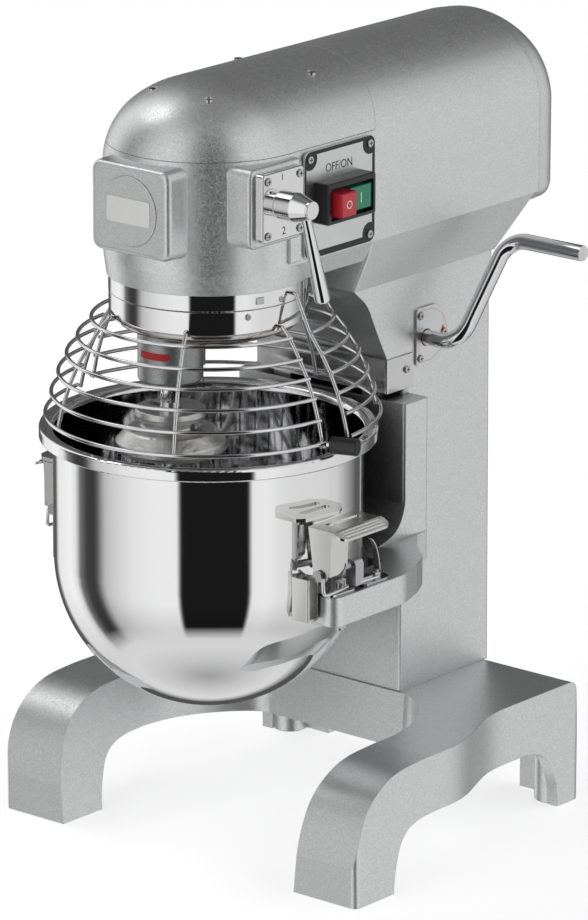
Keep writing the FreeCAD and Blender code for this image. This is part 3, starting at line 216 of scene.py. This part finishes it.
def planet_finish():
    """Enamelled boss below, polished dish above it."""
    m = enamel("planet_enamel", (0.46, 0.465, 0.47), 0.11, 0.40)
    m.name = "planet_two_finishes"
    t = m.node_tree
    out = [n for n in t.nodes if n.type == "OUTPUT_MATERIAL"][0]
    first = [n for n in t.nodes if n.type == "BSDF_PRINCIPLED"][0]
    q = t.nodes.new("ShaderNodeBsdfPrincipled")
    q.inputs["Base Color"].default_value = (0.70, 0.66, 0.62, 1)
    q.inputs["Metallic"].default_value = 1.0
    q.inputs["Roughness"].default_value = 0.10
    tc = t.nodes.new("ShaderNodeTexCoord")
    sp = t.nodes.new("ShaderNodeSeparateXYZ")
    t.links.new(tc.outputs["Object"], sp.inputs["Vector"])
    c = t.nodes.new("ShaderNodeMath")
    c.operation = "GREATER_THAN"
    c.inputs[1].default_value = 0.5783
    t.links.new(sp.outputs["Z"], c.inputs[0])
    mx = t.nodes.new("ShaderNodeMixShader")
    t.links.new(c.outputs[0], mx.inputs["Fac"])
    t.links.new(first.outputs["BSDF"], mx.inputs[1])
    t.links.new(q.outputs["BSDF"], mx.inputs[2])
    t.links.new(mx.outputs["Shader"], out.inputs["Surface"])
    return m


M["planet"] = planet_finish()
M["joint_line"] = plastic("joint_shadow", (0.09, 0.09, 0.09), 0.6, 0.00001)
M["badge"] = plastic("badge_lacquer", (0.74, 0.74, 0.73), 0.30, 0.00001, coat=0.3)
# black for the print, and also for the painted shade in the screw recesses and the painted shadow ring round each
# screw head
M["ink_and_painted_shade_black"] = plastic("print_and_painted_shade_black", (0.012, 0.012, 0.014), 0.42, 0.00001)
M["ink_white"] = plastic("printed_white", (0.80, 0.80, 0.80), 0.45, 0.00001)
M["ink_red"] = plastic("printed_red", (0.55, 0.02, 0.02), 0.45, 0.00001)

NODE_MAT = {
    "base_casting": "enamel", "base_pads": "rubber", "base_bolts": "zinc", "column_casting": "enamel_painted_shade", "slide_rails": "machined",
    "slideway_cover": "sheet_v", "cover_screws": "zinc", "cable_gland": "black", "head_housing": "enamel", "gearbox_top_cover": "enamel",
    "top_cover_screws": "zinc", "rear_cover": "enamel", "rear_cover_screws": "zinc", "hub_cap": "enamel", "badge_plate": "badge",
    "speed_plate": "chrome", "speed_plate_screws": "zinc", "speed_selector": "chrome", "speed_lever": "chrome", "switch_plate": "label",
    "switch_plate_screws": "zinc", "switch_housing": "black", "stop_button": "red", "start_button": "green", "planetary_collar": "mirror",
    "ring_gear": "gear", "planet_pinion": "gear", "planet_carrier": "planet", "agitator_shaft": "mirror", "agitator_pin": "machined",
    "whisk_hub": "cast", "whisk_wires": "wire", "main_shaft": "machined", "main_gear": "gear", "layshaft_pinion": "gear", "layshaft": "machined",
    "layshaft_pulley": "cast", "motor_pulley": "cast", "drive_belt": "rubber", "motor_body": "motor", "motor_shaft": "machined",
    "shaft_bearings": "bearing", "guard_ring": "mirror", "front_guard": "wire", "rear_guard": "wire", "guard_knob_nut": "chrome",
    "guard_knob": "black", "bowl": "bowl", "bowl_ears": "sheet", "bowl_brackets": "sheet", "bowl_yoke": "enamel_painted_shade", "yoke_nuts": "zinc",
    "lift_bracket": "machined", "lift_arm": "machined", "crank_handle": "wire", "crank_plate": "label", "crank_plate_screws": "zinc",
    "clamp_mounts": "machined", "clamp_lever_right": "sheet", "clamp_lever_left": "sheet",
}
for n, o in NODES.items():
    m = M[NODE_MAT.get(n, "enamel")]
    if not o.material_slots:
        o.data.materials.append(m)
    for s in o.material_slots:
        s.material = m


# ---------------------------------------------------------------- mesh helpers
def mesh_obj(name, verts, faces, mat, body, smooth=False):
    me = bpy.data.meshes.new(name)
    me.from_pydata([tuple(v) for v in verts], [], faces)
    me.update()
    bm = bmesh.new()
    bm.from_mesh(me)
    bmesh.ops.recalc_face_normals(bm, faces=bm.faces)
    bm.to_mesh(me)
    bm.free()
    o = bpy.data.objects.new(name, me)
    scene.collection.objects.link(o)
    o.data.materials.append(M[mat])
    if smooth:
        for f in me.polygons:
            f.use_smooth = True
    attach(o, body)
    return o


# ---------------------------------------------------------------- printed and small details
SIDE_X = Matrix(((0, 0, 1), (1, 0, 0), (0, 1, 0)))          # drawing plane (u, v) -> (+Y, +Z), facing +X
FRONT_Y = Matrix(((1, 0, 0), (0, 0, -1), (0, 1, 0)))        # (u, v) -> (+X, +Z), facing -Y


def from_curve(cu_obj, name, mat, body, smooth=False):
    dg = bpy.context.evaluated_depsgraph_get()
    me = bpy.data.meshes.new_from_object(cu_obj.evaluated_get(dg))
    me.transform(cu_obj.matrix_world)
    bpy.data.objects.remove(cu_obj)
    me.materials.clear()
    me.materials.append(M[mat])
    for f in me.polygons:
        f.use_smooth = smooth
    o = bpy.data.objects.new(name, me)
    scene.collection.objects.link(o)
    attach(o, body)
    return o


def place3(rot, at):
    m = rot.to_4x4()
    m.translation = Vector(at)
    return m


def decal(name, loops, rot, at, mat, body, thick=0.00012):
    """Flat shape, for print and for painted shade, from closed loops of (u, v) in mm; inner loops are holes."""
    cu = bpy.data.curves.new(name + "_c", "CURVE")
    cu.dimensions = "2D"
    cu.fill_mode = "BOTH"
    cu.extrude = thick
    for loop in loops:
        sp = cu.splines.new("POLY")
        sp.points.add(len(loop) - 1)
        for i, (u, v) in enumerate(loop):
            sp.points[i].co = (u * MM, v * MM, 0, 1)
        sp.use_cyclic_u = True
    o = bpy.data.objects.new(name + "_c", cu)
    scene.collection.objects.link(o)
    o.matrix_world = place3(rot, at)
    bpy.context.view_layer.update()
    return from_curve(o, name, mat, body)


def lettering(name, text, height, rot, at, mat, body, thick=0.0001, sx=1.0):
    cu = bpy.data.curves.new(name + "_t", "FONT")
    cu.body = text
    cu.size = height * MM / 0.72
    cu.align_x = "CENTER"
    cu.align_y = "CENTER"
    cu.extrude = thick
    cu.resolution_u = 6
    o = bpy.data.objects.new(name + "_t", cu)
    scene.collection.objects.link(o)
    o.matrix_world = place3(rot, at) @ Matrix.Diagonal((sx, 1, 1, 1))
    bpy.context.view_layer.update()
    return from_curve(o, name, mat, body)


def tube(name, pts, r, mat, body, cyclic=False, smooth_path=False):
    """Round rod along points in mm."""
    cu = bpy.data.curves.new(name + "_c", "CURVE")
    cu.dimensions = "3D"
    cu.bevel_depth = r * MM
    cu.bevel_resolution = 5
    cu.use_fill_caps = True
    if smooth_path:
        sp = cu.splines.new("NURBS")
        sp.points.add(len(pts) - 1)
        for i, p in enumerate(pts):
            sp.points[i].co = (p[0] * MM, p[1] * MM, p[2] * MM, 1)
        sp.order_u = 3
        sp.use_endpoint_u = True
        sp.resolution_u = 8
    else:
        sp = cu.splines.new("POLY")
        sp.points.add(len(pts) - 1)
        for i, p in enumerate(pts):
            sp.points[i].co = (p[0] * MM, p[1] * MM, p[2] * MM, 1)
    sp.use_cyclic_u = cyclic
    o = bpy.data.objects.new(name + "_c", cu)
    scene.collection.objects.link(o)
    bpy.context.view_layer.update()
    return from_curve(o, name, mat, body, smooth=True)


def arc_pts(cu, cv, r, a0, a1, n=10):
    return [(cu + r * math.cos(math.radians(a0 + (a1 - a0) * i / n)), cv + r * math.sin(math.radians(a0 + (a1 - a0) * i / n))) for i in range(n + 1)]


def round_rect(u0, v0, u1, v1, r, n=8):
    return (arc_pts(u1 - r, v1 - r, r, 0, 90, n) + arc_pts(u0 + r, v1 - r, r, 90, 180, n)
            + arc_pts(u0 + r, v0 + r, r, 180, 270, n) + arc_pts(u1 - r, v0 + r, r, 270, 360, n))


def cross_screw(name, centre, normal, r, h, mat, body, turn=20.0):
    """A domed head with a cross recess cut into it."""
    nr, na = 14, 56
    n = Vector(normal).normalized()
    a = n.cross(Vector((0, 0, 1)) if abs(n.z) < 0.9 else Vector((1, 0, 0))).normalized()
    b = n.cross(a)
    c = Vector(centre) * MM
    t = math.radians(turn)
    verts, faces = [], []
    for i in range(nr + 1):
        q = (i / nr) ** 0.85
        for j in range(na):
            w = 2 * math.pi * j / na
            x, y = r * q * math.cos(w), r * q * math.sin(w)
            z = h * (1 - q ** 4 * 0.75)
            xr, yr = x * math.cos(t) + y * math.sin(t), -x * math.sin(t) + y * math.cos(t)
            arm = min(abs(xr), abs(yr))
            if arm < 0.16 * r and q < 0.66:
                z -= h * 0.85 * min(1.0, (0.16 * r - arm) / (0.06 * r)) * min(1.0, (0.66 - q) / 0.12)
            verts.append(c + (a * x + b * y + n * z) * MM)
    for j in range(na):
        w = 2 * math.pi * j / na
        verts.append(c + (a * r * math.cos(w) + b * r * math.sin(w) - n * 0.3) * MM)
    for i in range(nr + 1):
        for j in range(na):
            k = (j + 1) % na
            faces.append((i * na + j, i * na + k, (i + 1) * na + k, (i + 1) * na + j))
    return mesh_obj(name, verts, faces, mat, body, smooth=True)


X128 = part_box("speed_plate")[1].x + 0.00001
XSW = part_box("switch_plate")[1].x + 0.00001
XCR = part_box("crank_plate")[1].x + 0.00001
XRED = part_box("stop_button")[1].x + 0.00001
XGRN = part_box("start_button")[1].x + 0.00001

# switch plate: charcoal border with a scallop round each screw, and the printed words
SC = [(-136.5, 767.6), (-39.2, 767.6), (-39.2, 671.2), (-136.5, 671.2)]
SR = 11.6


def switch_field():
    y0, y1, z0, z1 = -142.3, -35.2, 668.6, 771.6
    pts = []
    # right top, left top, left bottom, right bottom, going round anticlockwise
    for (cy, cz), ye, ze in ((SC[1], y1, z1), (SC[0], y0, z1), (SC[3], y0, z0), (SC[2], y1, z0)):
        du = math.sqrt(SR * SR - (ze - cz) ** 2)
        dv = math.sqrt(SR * SR - (ye - cy) ** 2)
        pe = (ye, cz - dv if ze == z1 else cz + dv)             # on the side edge
        pt = (cy - du if ye == y1 else cy + du, ze)             # on the top or bottom edge
        ae = math.degrees(math.atan2(pe[1] - cz, pe[0] - cy))
        at = math.degrees(math.atan2(pt[1] - cz, pt[0] - cy))
        first, last = (ae, at) if (ye == y1) == (ze == z1) else (at, ae)
        d = (last - first + 180) % 360 - 180
        if abs(d) < 1:
            d = 180
        if abs(d) > 180:
            d = d - 360 if d > 0 else d + 360
        pts += [(cy + SR * math.cos(math.radians(first + d * i / 10)), cz + SR * math.sin(math.radians(first + d * i / 10))) for i in range(11)]
    return pts


lo_sw, hi_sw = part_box("switch_plate")
rim = round_rect(lo_sw.y * 1000 + 0.3, lo_sw.z * 1000 + 0.3, hi_sw.y * 1000 - 0.3, hi_sw.z * 1000 - 0.3, 9.0)
decal("switch_border", [rim, switch_field()], SIDE_X, (XSW, 0, 0), "ink_and_painted_shade_black", "frame")
lettering("switch_words", "OFF/ON", 9.2, SIDE_X, (XSW, -0.0895, 0.7535), "ink_and_painted_shade_black", "frame", sx=0.95)
decal("stop_symbol", [arc_pts(-109.0, 719.8, 4.3, 0, 354, 40), arc_pts(-109.0, 719.8, 3.3, 0, 354, 40)], SIDE_X, (XRED, 0, 0), "ink_white", "stop_key")
decal("start_symbol", [round_rect(-77.4, 714.2, -76.2, 725.4, 0.5)], SIDE_X, (XGRN, 0, 0), "ink_white", "start_key")

# engraved speed numbers
lettering("speed_number_low", "2", 8.6, SIDE_X, (X128, -0.1970, 0.7070), "ink_and_painted_shade_black", "frame")
lettering("speed_number_high", "1", 7.0, SIDE_X, (X128, -0.1995, 0.7640), "ink_and_painted_shade_black", "frame")

# lift plate: an up arrow; its inset line is drawn further down
decal("lift_arrow", [[(107.0, 530.8), (114.2, 530.8), (110.6, 537.4)]], SIDE_X, (XCR, 0, 0), "ink_red", "frame")

# red strip on the planet boss
PXB, PYB = 0.040 * math.cos(math.radians(225)) * 1000, -167 + 40 * math.sin(math.radians(225))
sv, sf = [], []
RB = 34.6 + 0.12
NS = 14
for i in range(NS + 1):
    q = i / NS
    a = math.radians(-112 + 62 * q)
    top = 556.9 - 0.5 * q
    bot = 549.2 - 0.8 * q + (0.0 if q < 0.93 else 0.0)
    if q > 0.9:
        bot += (q - 0.9) * 60 * 0.5
    for rr in (RB, RB - 0.25):
        for z in (bot, top):
            sv.append(Vector((PXB + rr * math.cos(a), PYB + rr * math.sin(a), z)) * MM)
for i in range(NS):
    b = i * 4
    n_ = b + 4
    sf += [(b, n_, n_ + 1, b + 1), (b + 2, b + 3, n_ + 3, n_ + 2), (b + 1, n_ + 1, n_ + 3, b + 3), (b, b + 2, n_ + 2, n_)]
sf += [(0, 1, 3, 2), (NS * 4, NS * 4 + 2, NS * 4 + 3, NS * 4 + 1)]
mesh_obj("planet_red_strip", sv, sf, "ink_red", "planet", smooth=False)



R_COLLAR = (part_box("planetary_collar")[1].x) * 1000
R_BAND = (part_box("guard_ring")[1].x) * 1000
# collar and guard band: screws, latch tab, seam and the eyes of the guard hooks
AXY = -167.0


def on_ring(rad, ang, z):
    a = math.radians(ang)
    return (rad * math.cos(a), AXY + rad * math.sin(a), z)


def out_of(ang):
    a = math.radians(ang)
    return (math.cos(a), math.sin(a), 0)


def arc_tab(name, a0, a1, z0, z1, r0, r1, mat, body, chamfer=0.5, n=8):
    """A curved plate lying on a cylinder, with a chamfered outer face."""
    verts, faces = [], []
    for i in range(n + 1):
        a = a0 + (a1 - a0) * i / n
        da = math.degrees(chamfer / r1)
        ai = a0 + da + (a1 - a0 - 2 * da) * i / n
        for rad, ang, z in ((r0, a, z0), (r0, a, z1), (r1 - chamfer, a, z1), (r1, ai, z1 - chamfer), (r1, ai, z0 + chamfer), (r1 - chamfer, a, z0)):
            verts.append(Vector(on_ring(rad, ang, z)) * MM)
    for i in range(n):
        b = i * 6
        for k in range(6):
            q = (k + 1) % 6
            faces.append((b + k, b + q, b + 6 + q, b + 6 + k))
    faces += [tuple(range(6)), tuple(n * 6 + k for k in range(6))]
    return mesh_obj(name, verts, faces, mat, body)


cross_screw("collar_side_screw", on_ring(R_COLLAR, -3.3, 625.6), out_of(-3.3), 3.4, 1.3, "zinc", "frame")
cross_screw("band_side_screw", on_ring(R_BAND, -26.3, 612.6), out_of(-26.3), 3.6, 1.3, "zinc", "guard_door")
arc_tab("collar_latch_tab", -21.3, -16.3, 625.0, 632.0, R_COLLAR - 0.2, R_COLLAR + 1.6, "machined", "frame")
tube("band_seam", [on_ring(R_BAND - 0.02, -3.3 - 3.2 * i / 8, 618.0 - 24.4 * i / 8) for i in range(9)], 0.22, "ink_and_painted_shade_black", "guard_door")
for i, a in enumerate((-61.7, -118.3)):
    c = Vector(on_ring(R_BAND, a, 597.0))
    u = Vector((-math.sin(math.radians(a)), math.cos(math.radians(a)), 0))
    tube("hook_eye_%d" % i, [tuple(c + u * (3.1 * math.cos(math.radians(k * 20))) + Vector((0, 0, 3.1 * math.sin(math.radians(k * 20))))) for k in range(18)],
         0.35, "ink_and_painted_shade_black", "guard_door", cyclic=True)



def plus(cu, cv, r, turn):
    """Outline of a cross recess."""
    w = 0.17 * r
    base = [(w, w), (w, 0.72 * r), (-w, 0.72 * r), (-w, w), (-0.72 * r, w), (-0.72 * r, -w), (-w, -w), (-w, -0.72 * r), (w, -0.72 * r), (w, -w), (0.72 * r, -w), (0.72 * r, w)]
    c, q = math.cos(math.radians(turn)), math.sin(math.radians(turn))
    return [(cu + x * c - y * q, cv + x * q + y * c) for x, y in base]


# painted shade: a black cross decal stands for the shade in each screw's cross recess, and a black ring round each
# head is a painted shadow at its washer
for tag, node, rr, spots in (("speed", "speed_plate_screws", 4.2, [(-222.5, 705.5), (-172.0, 705.5), (-222.5, 763.0), (-172.0, 763.0)]),
                             ("switch", "switch_plate_screws", 4.4, [(-136.5, 670), (-39.5, 670), (-136.5, 767.5), (-39.5, 767.5)]),
                             ("lift", "crank_plate_screws", 4.0, [(72.5, 554.0), (72.5, 507.0), (112.5, 529.0)])):
    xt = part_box(node)[1].x - 0.00035
    for i, (y, z) in enumerate(spots):
        decal("%s_recess_%d" % (tag, i), [plus(y, z, rr, 0)], SIDE_X, (xt, 0, 0), "ink_and_painted_shade_black", "frame", thick=0.0003)
        tube("%s_recess_rim_%d" % (tag, i), [(xt * 1000 - 1.7, y + (rr + 0.1) * math.cos(math.radians(a)), z + (rr + 0.1) * math.sin(math.radians(a))) for a in range(0, 360, 15)],
             0.22, "ink_and_painted_shade_black", "frame", cyclic=True)


def seam(name, node, flat, mat, body, r=0.2):
    """A dark joint line along the rim of a node, where a joint face meets an outer face."""
    o = NODES[node]
    bm = bmesh.new()
    bm.from_mesh(o.data)
    bm.transform(o.matrix_world)
    bmesh.ops.remove_doubles(bm, verts=bm.verts, dist=1e-5)
    bm.edges.ensure_lookup_table()
    keep = []
    for e in bm.edges:
        if len(e.link_faces) != 2:
            continue
        f, g = e.link_faces
        a, b = flat(f), flat(g)
        if a != b:
            keep.append(e)
    nxt = {}
    for e in keep:
        a, b = e.verts[0].index, e.verts[1].index
        nxt.setdefault(a, []).append(b)
        nxt.setdefault(b, []).append(a)
    bm.verts.ensure_lookup_table()
    loops, seen = [], set()
    for st in nxt:
        if st in seen:
            continue
        path, cur, prev = [st], st, None
        seen.add(st)
        while True:
            cand = [v for v in nxt[cur] if v not in seen]
            if not cand:
                break
            prev, cur = cur, cand[0]
            seen.add(cur)
            path.append(cur)
        loops.append([bm.verts[i].co * 1000 for i in path])
    loops.sort(key=lambda p: -sum((p[i] - p[i - 1]).length for i in range(1, len(p))))
    lp = [tuple(v) for v in loops[0]]
    bm.free()
    return tube(name, lp, r, mat, body, cyclic=True)


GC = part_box("gearbox_top_cover")
seam("top_cover_joint", "gearbox_top_cover",
     lambda f: (f.normal.z < -0.98 and abs(f.calc_center_median().z - GC[0].z) < 0.0003) or (f.normal.y > 0.98 and abs(f.calc_center_median().y - GC[1].y) < 0.0003),
     "joint_line", "frame", 0.22)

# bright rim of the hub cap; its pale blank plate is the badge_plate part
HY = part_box("hub_cap")[0].y * 1000
tube("hub_cap_rim", [(36.2 * math.cos(math.radians(a)), HY + 0.25, 724.7 + 36.2 * math.sin(math.radians(a))) for a in range(0, 360, 6)], 0.3, "chrome", "frame", cyclic=True)

# inset line on the lift plate
ins = [(70.2, 502.4), (92.0, 502.6), (99.6, 506.8), (109.4, 511.6), (113.6, 518.4), (117.2, 531.0), (113.6, 543.6), (109.4, 550.4), (99.0, 556.6), (92.0, 559.2), (70.2, 559.2)]
decal("lift_plate_line", [ins, [(u + (92 - u) * 0.012, v + (531 - v) * 0.012) for u, v in ins]], SIDE_X, (XCR, 0, 0), "ink_red", "frame", thick=0.00005)

# loose hardware on top of each fork arm, beside the lever
for sx, tag in ((1, "right"), (-1, "left")):
    def q(pts):
        return [(sx * x, y, z) for x, y, z in pts]
    tube("clamp_bail_" + tag, q([(190.6, -208.4, 349.0), (191.2, -208.9, 344.0), (192.0, -208.8, 334.5), (192.3, -207.2, 330.4), (192.3, -200.0, 329.9), (191.0, -180.0, 329.8), (188.6, -166.0, 329.9)]),
         1.9, "chrome", "lift_carriage", smooth_path=True)
    tube("clamp_spring_" + tag, q([(189.5, -152.0, 330.3), (191.5, -138.0, 330.4), (192.3, -120.0, 330.4)]), 1.4, "chrome", "lift_carriage", smooth_path=True)
    bl = [(sx * (181.5 + 3.0 * math.sin(math.radians(v))), -124.0 + 11.0 * math.sin(math.radians(v)), 371.0 - 36.0 * (1 - math.cos(math.radians(v)))) for v in range(0, 91, 10)]
    verts, faces = [], []
    for i, (x, y, z) in enumerate(bl):
        wd = 1.2 + 3.0 * i / (len(bl) - 1)
        for dx, dy in ((-wd, 0), (wd, 0), (wd, 1.2), (-wd, 1.2)):
            verts.append(Vector((x + dx, y + dy, z)) * MM)
    for i in range(len(bl) - 1):
        b = i * 4
        for k in range(4):
            w = (k + 1) % 4
            faces.append((b + k, b + w, b + 4 + w, b + 4 + k))
    faces += [(0, 1, 2, 3), tuple((len(bl) - 1) * 4 + k for k in range(4))]
    mesh_obj("clamp_leaf_" + tag, verts, faces, "sheet", "lift_carriage")


# ---------------------------------------------------------------- floor, light, camera
def build_world():
    w = bpy.data.worlds.new("studio")
    scene.world = w
    w.use_nodes = True
    t = w.node_tree
    t.nodes.clear()
    out = t.nodes.new("ShaderNodeOutputWorld")
    tc = t.nodes.new("ShaderNodeTexCoord")
    sp = t.nodes.new("ShaderNodeSeparateXYZ")
    t.links.new(tc.outputs["Generated"], sp.inputs["Vector"])

    def mth(op, a, b=None):
        n = t.nodes.new("ShaderNodeMath")
        n.operation = op
        for i, q in enumerate((a, b)):
            if q is None:
                continue
            if isinstance(q, (int, float)):
                n.inputs[i].default_value = q
            else:
                t.links.new(q, n.inputs[i])
        return n.outputs[0]
    ny = mth("MULTIPLY", sp.outputs["Y"], -1.0)
    az = mth("ARCTAN2", sp.outputs["X"], ny)                    # 0 towards -Y, 90 deg towards +X
    az = mth("ADD", mth("DIVIDE", az, 2 * math.pi), 0.5)
    el = mth("ARCSINE", mth("MINIMUM", mth("MAXIMUM", sp.outputs["Z"], -1.0), 1.0))
    el = mth("ADD", mth("DIVIDE", el, math.pi), 0.5)

    def r(fac, stops):
        n = t.nodes.new("ShaderNodeValToRGB")
        e = n.color_ramp.elements
        while len(e) > 1:
            e.remove(e[0])
        for i, (pos, c) in enumerate(stops):
            q = e[0] if i == 0 else e.new(pos)
            q.position = pos
            q.color = (c, c, c, 1)
        t.links.new(fac, n.inputs["Fac"])
        return n.outputs["Color"]

    def A(deg):
        return deg / 360.0 + 0.5

    def E(deg):
        return deg / 180.0 + 0.5
    ring = r(az, [(A(d), v / 1.2) for d, v in RING])
    sky = r(el, [(E(d), v / 1.2) for d, v in SKY])
    wgt = r(el, [(E(d), v) for d, v in WEIGHT])
    mx = t.nodes.new("ShaderNodeMix")
    mx.data_type = "RGBA"
    t.links.new(wgt, mx.inputs["Factor"])
    t.links.new(ring, mx.inputs["A"])
    t.links.new(sky, mx.inputs["B"])
    fade = r(el, [(E(d), v) for d, v in FADE])
    mul = t.nodes.new("ShaderNodeMix")
    mul.data_type = "RGBA"
    mul.blend_type = "MULTIPLY"
    mul.inputs["Factor"].default_value = 1.0
    t.links.new(mx.outputs["Result"], mul.inputs["A"])
    t.links.new(fade, mul.inputs["B"])
    lit = t.nodes.new("ShaderNodeBackground")
    t.links.new(mul.outputs["Result"], lit.inputs["Color"])
    lit.inputs["Strength"].default_value = LEVEL
    white = t.nodes.new("ShaderNodeBackground")
    white.inputs["Color"].default_value = (1, 1, 1, 1)
    white.inputs["Strength"].default_value = 1.0
    lp = t.nodes.new("ShaderNodeLightPath")
    sw = t.nodes.new("ShaderNodeMixShader")
    t.links.new(lp.outputs["Is Camera Ray"], sw.inputs["Fac"])
    t.links.new(lit.outputs["Background"], sw.inputs[1])
    t.links.new(white.outputs["Background"], sw.inputs[2])
    t.links.new(sw.outputs["Shader"], out.inputs["Surface"])


# brightness of the studio walls round the horizon, against azimuth (0 towards -Y, 90 towards +X)
RING = [(-180, 0.12), (-124, 0.10), (-116, 0.14), (-108, 0.95), (-84, 1.10), (-76, 0.90), (-70, 0.20), (-62, 0.06), (-54, 0.05), (-50, 0.12),
        (-47, 0.30), (-42, 0.60), (-36, 0.72), (-27, 0.83), (-18, 0.93), (0, 1.02), (17, 1.02), (20, 0.012), (70, 0.012), (73, 0.97), (85, 1.0),
        (95, 0.90), (106, 0.84), (132, 0.82), (150, 0.74), (165, 0.40), (180, 0.12)]
# brightness overhead, against elevation, and how much of it is used instead of the ring
SKY = [(-90, 1.0), (0, 1.0), (40, 0.36), (90, 0.14)]
WEIGHT = [(-90, 1.0), (-52, 1.0), (-42, 0.0), (52, 0.0), (70, 1.0), (90, 1.0)]
# the floor side of the studio fades towards the object's own shadow
FADE = [(-90, 0.42), (-72, 0.68), (-58, 0.82), (-44, 0.76), (-24, 1.0), (90, 1.0)]
LEVEL = 1.116
build_world()

fl, ft, fp = new_mat("pale_floor")
ft.links.new(ramp(ft, noise(ft, coord(ft), 0.6, 2.0), [(0.3, 0.88), (0.7, 0.90)]), fp.inputs["Base Color"])
fp.inputs["Roughness"].default_value = 0.9
fp.inputs["Specular IOR Level"].default_value = 0.0
fp.inputs["Emission Color"].default_value = (1, 1, 1, 1)
fp.inputs["Emission Strength"].default_value = 0.62
me = bpy.data.meshes.new("floor")
S = 30.0
me.from_pydata([(-S, -S, 0), (S, -S, 0), (S, S, 0), (-S, S, 0)], [], [(0, 1, 2, 3)])
floor = bpy.data.objects.new("floor", me)
scene.collection.objects.link(floor)
me.materials.append(fl)
floor.visible_glossy = False      # mirrors see the studio walls instead


def area(name, loc, target, w, h, power):
    l = bpy.data.lights.new(name, "AREA")
    l.shape = "RECTANGLE"
    l.size, l.size_y = w, h
    l.energy = power
    o = bpy.data.objects.new(name, l)
    scene.collection.objects.link(o)
    o.location = loc
    o.rotation_mode = "QUATERNION"
    o.rotation_quaternion = (Vector(target) - Vector(loc)).to_track_quat("-Z", "Y")
    return o


area("high_left_softbox", (-1.85, -0.63, 3.17), (0, -0.167, 0.9), 1.0, 1.0, 6.5)

cam_d = bpy.data.cameras.new("camera")
cam = bpy.data.objects.new("camera", cam_d)
scene.collection.objects.link(cam)
cam_d.sensor_width = 36.0
cam_d.sensor_fit = "AUTO"
cam_d.lens = 250.68
cam.location = (4.2149, -5.0609, 2.3477)
az_c, el_c, roll = math.radians(39.942), math.radians(16.53), math.radians(0.11)
back = Vector((math.sin(az_c) * math.cos(el_c), -math.cos(az_c) * math.cos(el_c), math.sin(el_c)))
cam.rotation_mode = "QUATERNION"
cam.rotation_quaternion = (-back).to_track_quat("-Z", "Y") @ Matrix.Rotation(roll, 4, "Z").to_quaternion()
cam_d.clip_start, cam_d.clip_end = 0.05, 200
scene.camera = cam
scene.view_settings.view_transform = "Standard"
scene.view_settings.look = "None"
scene.view_settings.exposure = 0.0
scene.view_settings.gamma = 1.0
